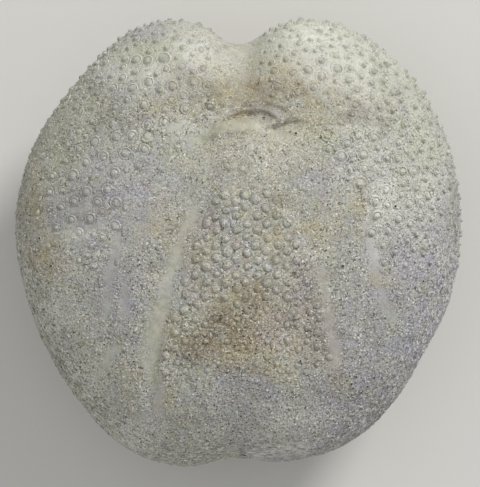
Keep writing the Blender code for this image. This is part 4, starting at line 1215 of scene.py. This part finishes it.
def calcite_material(name, colours, roughness, grain_depth):
    """Weathered calcite and chalk: dull, pale and mottled, with dark pits, pale specks and a fine grain. Two
    greys are clouded and stained, the hollows darkened, partly by painted shade, the steep rims streaked and
    the tips paled, partly by a painted highlight."""
    material = bpy.data.materials.new(name)
    material.use_nodes = True
    tree = material.node_tree
    shader = tree.nodes["Principled BSDF"]
    shader.inputs["Roughness"].default_value = roughness
    shader.inputs["IOR"].default_value = 1.5
    shader.inputs["Specular IOR Level"].default_value = 0.35
    place = add_node(tree, "ShaderNodeTexCoord").outputs["Object"]

    def cloud(size_mm, detail=2.0, at=place):
        links = [("Vector", at)]
        node = add_node(tree, "ShaderNodeTexNoise", links, Scale=1 / (size_mm * MM), Detail=detail)
        return node.outputs["Fac"]

    def ramp(value, low, high, start=0.0, end=1.0):
        limits = {"From Min": low, "From Max": high, "To Min": start, "To Max": end}
        return add_node(tree, "ShaderNodeMapRange", [("Value", value)], **limits).outputs["Result"]

    def mask(kind):
        return add_node(tree, "ShaderNodeAttribute", attribute_name=kind).outputs["Fac"]

    def product(a, b):
        return add_node(tree, "ShaderNodeMath", [(0, a), (1, b)], operation="MULTIPLY").outputs[0]

    def mixed(share, below, colour):
        node = add_node(tree, "ShaderNodeMix", [(0, share), (6, below)], data_type="RGBA")
        node.inputs[7].default_value = getattr(colours, colour)
        return node.outputs[2]

    base = add_node(tree, "ShaderNodeMix", [(0, ramp(cloud(2.6, 3), 0.35, 0.65))], data_type="RGBA")
    base.inputs[6].default_value = colours.shade
    base.inputs[7].default_value = colours.chalk
    rough_ground = ramp(mask("smooth"), -0.5, 0.9, 1.55, 0.2)
    patch = ramp(cloud(0.8, 3), 0.38, 0.58, 0.4, 1.0)
    colour = base.outputs[2]
    for kind, size_mm, low, high, strength in CLOUDS:
        colour = mixed(ramp(cloud(size_mm, 3), low, high, 0, strength), colour, kind)
    for kind, size_mm, low, high in STAIN_NOISE:
        colour = mixed(product(mask(kind), ramp(cloud(size_mm), low, high)), colour, kind)
    colour = mixed(product(mask("rust"), ramp(cloud(0.3, 4), 0.38, 0.62, 0.1, 1.0)), colour, "rust")
    # painted shade with dirt: darker in the hollows, the ring grooves, at the feet of the tubercles and in
    # the mouth
    colour = mixed(product(mask("hollow"), ramp(cloud(0.4), 0.2, 0.8)), colour, "dirt_and_shade")
    lengthwise = add_node(tree, "ShaderNodeVectorMath", [(0, place)], operation="MULTIPLY")
    lengthwise.inputs[1].default_value = (0.3, 0.3, 1.0)
    rows = cloud(ROW_NOISE_SIZE, 1.0, lengthwise.outputs[0])
    colour = mixed(product(mask("rim"), ramp(rows, 0.52, 0.68, 0, 0.8)), colour, "dirt_and_shade")
    colour = mixed(product(mask("rim"), ramp(rows, 0.46, 0.34, 0, 0.5)), colour, "speck_and_highlight")
    pits = product(product(ramp(cloud(0.16, 1), 0.56, 0.72, 0, 1.1), patch), rough_ground)
    colour = mixed(pits, colour, "pit")
    specks = product(product(ramp(cloud(0.12, 1), 0.56, 0.72, 0, 0.9), patch), rough_ground)
    colour = mixed(specks, colour, "speck_and_highlight")
    # painted highlight with wear: paler tips of the tubercles and granules
    colour = mixed(product(mask("tip"), ramp(cloud(0.3), 0.3, 0.7, 0, 0.6)), colour, "speck_and_highlight")
    # painted shade: the middles of the holes and pits are painted near black
    colour = mixed(mask("hole"), colour, "hole")
    grain = cloud(GRAIN_NOISE_SIZE)
    even = add_node(tree, "ShaderNodeMix", [(0, rough_ground), (3, ramp(grain, 0.32, 0.68, 0.66, 1.32))])
    even.inputs[2].default_value = 1.0
    shaded = add_node(
        tree, "ShaderNodeMix", [(6, colour), (7, even.outputs[0])], data_type="RGBA", blend_type="MULTIPLY"
    )
    shaded.inputs[0].default_value = 1.0
    tree.links.new(shaded.outputs[2], shader.inputs["Base Color"])
    height = product(grain, rough_ground)
    bump = add_node(tree, "ShaderNodeBump", [("Height", height)], Distance=grain_depth * MM, Strength=1.0)
    tree.links.new(bump.outputs["Normal"], shader.inputs["Normal"])
    return material


# ---------------------------------------------------------------- operators


def length(name, description, millimetres):
    """A size the user can change. Its default is given in millimetres."""
    return FloatProperty(
        name=name,
        description=description,
        default=millimetres * MM,
        min=0.01 * MM,
        precision=6,
        unit="LENGTH",
    )


def colour(name, description, hex_colour):
    """A colour the user can change. Its default is an sRGB hex colour."""
    return FloatVectorProperty(
        name=name, description=description, default=linear(hex_colour), min=0, max=1, size=4, subtype="COLOR"
    )


def light(name, description, strength):
    """A light's strength property."""
    return FloatProperty(name=name, description=description, default=strength, min=0, precision=3)


class URCHIN_PG_sizes(bpy.types.PropertyGroup):
    """Sizes of the finished surface."""

    cells: IntProperty(
        name="Grid cells",
        description="Cells along a side of the stone's two grids",
        default=220,
        min=20,
        max=220,
    )
    boss: length("Shield boss", "Radius of the domed tubercles on the shield", 0.28)
    column: length("Shield columns", "Distance between the columns of the shield's tubercles", 0.63)
    row: length("Shield rows", "Distance between the shield's tubercles along a column", 0.91)
    ring_scale: FloatProperty(
        name="Ring scale",
        description="Size of the clear ringed tubercles, as a share of the size read for each",
        default=0.88,
        min=0.3,
        max=1.3,
    )
    fill_spacing: length("Fill spacing", "Distance between the tubercles in between the clear ones", 0.8)
    small_spacing: length("Small spacing", "Distance between the smallest tubercles of the mouth side", 0.42)
    pit_spacing: length("Pit spacing", "Distance between the places where a pit can be", 0.3)
    granule_spacing: length("Granule spacing", "Distance between the granules of the mouth side", 0.165)
    granule_radius: length("Granule radius", "Radius of the granules of the mouth side", 0.055)
    grain_depth: length("Grain depth", "Depth of the fine grain that the light picks out", 0.05)


class URCHIN_PG_colours(bpy.types.PropertyGroup):
    """Colours of the stone and of its stains."""

    chalk: colour("Chalk", "The paler of the two greys that mottle all of the stone", "#CBCABE")
    shade: colour("Shade", "The darker of the two greys that mottle all of the stone", "#B7B6AB")
    warm: colour("Warm", "Cream clouds over the greys", "#C9C5B1")
    cool: colour("Cool", "Blue-grey clouds over the greys", "#B9B9BC")
    rose: colour("Rose", "Small pink-grey flecks, and the pink stains of the shield", "#B8A9A5")
    olive: colour("Olive", "Small green-grey flecks", "#B3B394")
    blue: colour("Blue", "Lavender stains of the flanks and of the rear", "#ABA9BA")
    green: colour("Green", "Yellow-green stains of the front and of the rims", "#BCC0A4")
    # this colour also paints light: the right flank is paler where it faces the lamp
    pale: colour("Pale", "Bare whitish stone of the front lobes", "#E2E1D5")
    ochre: colour("Ochre", "Clay-yellow stains in front of the mouth and on the shield", "#BDB18A")
    # this colour also paints shade: the band above the mouth, the grooves beside it and the right rim
    dim: colour("Dim", "Grey dirt that darkens a patch", "#8C887A")
    rust: colour("Rust", "Brown stain of the worn middle of the shield", "#927E60")
    # this colour also paints shade in the rings, the hollows, the mouth and at the feet of the tubercles
    dirt_and_shade: colour("Dirt", "Dirt in the rings, in the hollows and in the mouth", "#7C796C")
    pit: colour("Pit", "Dark pores of the gritty ground", "#66624F")
    # this colour is painted shade: the holes are painted near black for their depth
    hole: colour("Hole", "The deepest holes", "#3B372D")
    # this colour also paints a highlight on the tips of the tubercles and granules
    speck_and_highlight: colour("Speck", "Pale crystal specks and the rubbed tips of the tubercles", "#EFEEE8")


class URCHIN_PG_stage(bpy.types.PropertyGroup):
    """The floor and the lights."""

    floor: colour("Floor", "Colour of the floor", "#DEDCD6")
    half_width: length("Floor half-width", "Half the side of the floor", 600)
    key: light("Key light", "Power of the lamp at the upper right", 1.26)
    fill: light("Fill light", "Power of the wide lamp overhead", 0.25)
    room: light("Room light", "Strength of the even light all round", 0.49)


def chosen_sizes(context):
    """The user's sizes, in millimetres."""
    group = context.scene.urchin_sizes
    sizes = {name: round(getattr(group, name) / MM, 4) for name in Sizes._fields if name != "ring_scale"}
    return Sizes(ring_scale=group.ring_scale, **sizes)


class URCHIN_OT_stone(bpy.types.Operator):
    """Builds the stone's closed surface in place of the plain solid."""

    bl_idname = "urchin.stone"
    bl_label = "Stone surface"

    def execute(self, context):
        group = context.scene.urchin_sizes
        # the shell itself: dull and chalky, clouded grey, cream and lavender, gritty where not worn smooth
        colours, depth = context.scene.urchin_colours, group.grain_depth / MM
        material = calcite_material("weathered_calcite", colours, 0.85, depth)
        made = piece("stone", *stone_surface(group.cells, chosen_sizes(context)), material)
        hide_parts(NODE)
        return {"FINISHED"}


class URCHIN_OT_tubercles(bpy.types.Operator):
    """Stands the tubercles on the stone."""

    bl_idname = "urchin.tubercles"
    bl_label = "Tubercles"

    def execute(self, context):
        sizes, depth = chosen_sizes(context), context.scene.urchin_sizes.grain_depth / MM
        # the tubercles: the same stone, a little less dull where it stands proud and is rubbed
        material = calcite_material("worn_calcite", context.scene.urchin_colours, 0.75, 0.7 * depth)
        spread("shield_tubercles", DOMED_BOSS, 12, shield_stand(sizes), material, SEED + 40, 0.74, 0.1)
        spread("ringed_tubercles", RINGED_BOSS, 12, ringed_stand(sizes), material, SEED + 42)
        spread("middling_tubercles", FAINT_BOSS, 9, middling_stand(sizes), material, SEED + 44)
        spread("small_tubercles", SCALE_BOSS, 7, small_stand(sizes), material, SEED + 46, calm=0.2)
        return {"FINISHED"}


class URCHIN_OT_granules(bpy.types.Operator):
    """Scatters the granules between the tubercles."""

    bl_idname = "urchin.granules"
    bl_label = "Granules"

    def execute(self, context):
        sizes, group = chosen_sizes(context), context.scene.urchin_sizes
        spacing, radius = round(group.granule_spacing / MM, 4), round(group.granule_radius / MM, 4)
        # granules and pits: dry chalk, as rough as the shell, with a finer grain
        colours, depth = context.scene.urchin_colours, 0.6 * group.grain_depth / MM
        material = calcite_material("chalky_calcite", colours, 0.85, depth)
        stand = granule_stand(sizes, +1, spacing, radius, SEED + 20)
        front = stand.place[:, 1] > 0
        spread("granules_front", GRANULE, 5, some(stand, front), material, SEED + 50, calm=0)
        spread("granules_rear", GRANULE, 5, some(stand, ~front), material, SEED + 52, calm=0)
        spacing, radius = DOME_GRANULE_SPACING * spacing, DOME_GRANULE_RADIUS * radius
        dome = granule_stand(sizes, -1, spacing, radius, SEED + 30)
        spread("granules_dome", GRANULE, 5, dome, material, SEED + 54, calm=0)
        spread("pits", PIT, 6, pit_stand(sizes), material, SEED + 56, 0.5)
        return {"FINISHED"}


class URCHIN_OT_stage(bpy.types.Operator):
    """Adds the pale floor, soft lights and the camera that looks straight down."""

    bl_idname = "urchin.stage"
    bl_label = "Stage"

    def execute(self, context):
        scene, look = context.scene, context.scene.urchin_stage
        floor_mesh = bpy.data.meshes.new("floor")
        half, low = look.half_width, -FLOOR_GAP * MM
        corners = [(-half, -half, low), (half, -half, low), (half, half, low), (-half, half, low)]
        floor_mesh.from_pydata(corners, [], [(0, 1, 2, 3)])
        floor = bpy.data.objects.new("floor", floor_mesh)
        # the floor: an even pale ground without shine
        paper = bpy.data.materials.new("matt_paper")
        paper.use_nodes = True
        paper.node_tree.nodes["Principled BSDF"].inputs["Base Color"].default_value = look.floor
        paper.node_tree.nodes["Principled BSDF"].inputs["Roughness"].default_value = 0.9
        floor_mesh.materials.append(paper)
        scene.collection.objects.link(floor)
        world = bpy.data.worlds.new("soft_room")
        world.use_nodes = True
        world.node_tree.nodes["Background"].inputs["Color"].default_value = linear(ROOM_COLOUR)
        world.node_tree.nodes["Background"].inputs["Strength"].default_value = look.room
        scene.world = world
        lamps = (("key", KEY_LAMP, look.key), ("fill", FILL_LAMP, look.fill))
        for name, (place, size), power in lamps:
            disc_light = bpy.data.lights.new(name, "AREA")
            disc_light.shape, disc_light.size, disc_light.energy = "DISK", size, power
            lamp = bpy.data.objects.new(name, disc_light)
            lamp.location = place
            lamp.rotation_euler = (-Vector(place)).to_track_quat("-Z", "Y").to_euler()
            scene.collection.objects.link(lamp)
        camera = bpy.data.cameras.new("camera")
        camera.lens, camera.sensor_width = LENS, SENSOR
        eye = bpy.data.objects.new("camera", camera)
        eye.location = (AIM_X * MM, AIM_Y * MM, (RIM_HEIGHT + CAMERA_RISE) * MM)
        camera.clip_start = 0.01
        scene.collection.objects.link(eye)
        scene.camera = eye
        scene.view_settings.view_transform = "Standard"
        return {"FINISHED"}


class URCHIN_PT_panel(bpy.types.Panel):
    """Lists the steps that build the urchin."""

    bl_idname = "URCHIN_PT_panel"
    bl_label = "Fossil heart urchin"
    bl_space_type = "VIEW_3D"
    bl_region_type = "UI"
    bl_category = "Urchin"

    def draw(self, context):
        for step in STEPS:
            self.layout.operator(step.bl_idname)
        for group, kind in GROUPS.items():
            box = self.layout.box()
            for name in kind.__annotations__:
                box.prop(getattr(context.scene, group), name)


STEPS = (URCHIN_OT_stone, URCHIN_OT_tubercles, URCHIN_OT_granules, URCHIN_OT_stage)


GROUPS = {
    "urchin_sizes": URCHIN_PG_sizes,
    "urchin_colours": URCHIN_PG_colours,
    "urchin_stage": URCHIN_PG_stage,
}


def register():
    for entry in (*GROUPS.values(), *STEPS, URCHIN_PT_panel):
        bpy.utils.register_class(entry)
    for name, kind in GROUPS.items():
        setattr(bpy.types.Scene, name, PointerProperty(type=kind))


def unregister():
    for name in GROUPS:
        delattr(bpy.types.Scene, name)
    for entry in (URCHIN_PT_panel, *reversed(STEPS), *GROUPS.values()):
        bpy.utils.unregister_class(entry)


def main():
    register()
    bpy.ops.urchin.stone()
    bpy.ops.urchin.tubercles()
    bpy.ops.urchin.granules()
    bpy.ops.urchin.stage()


if __name__ == "__main__":
    main()
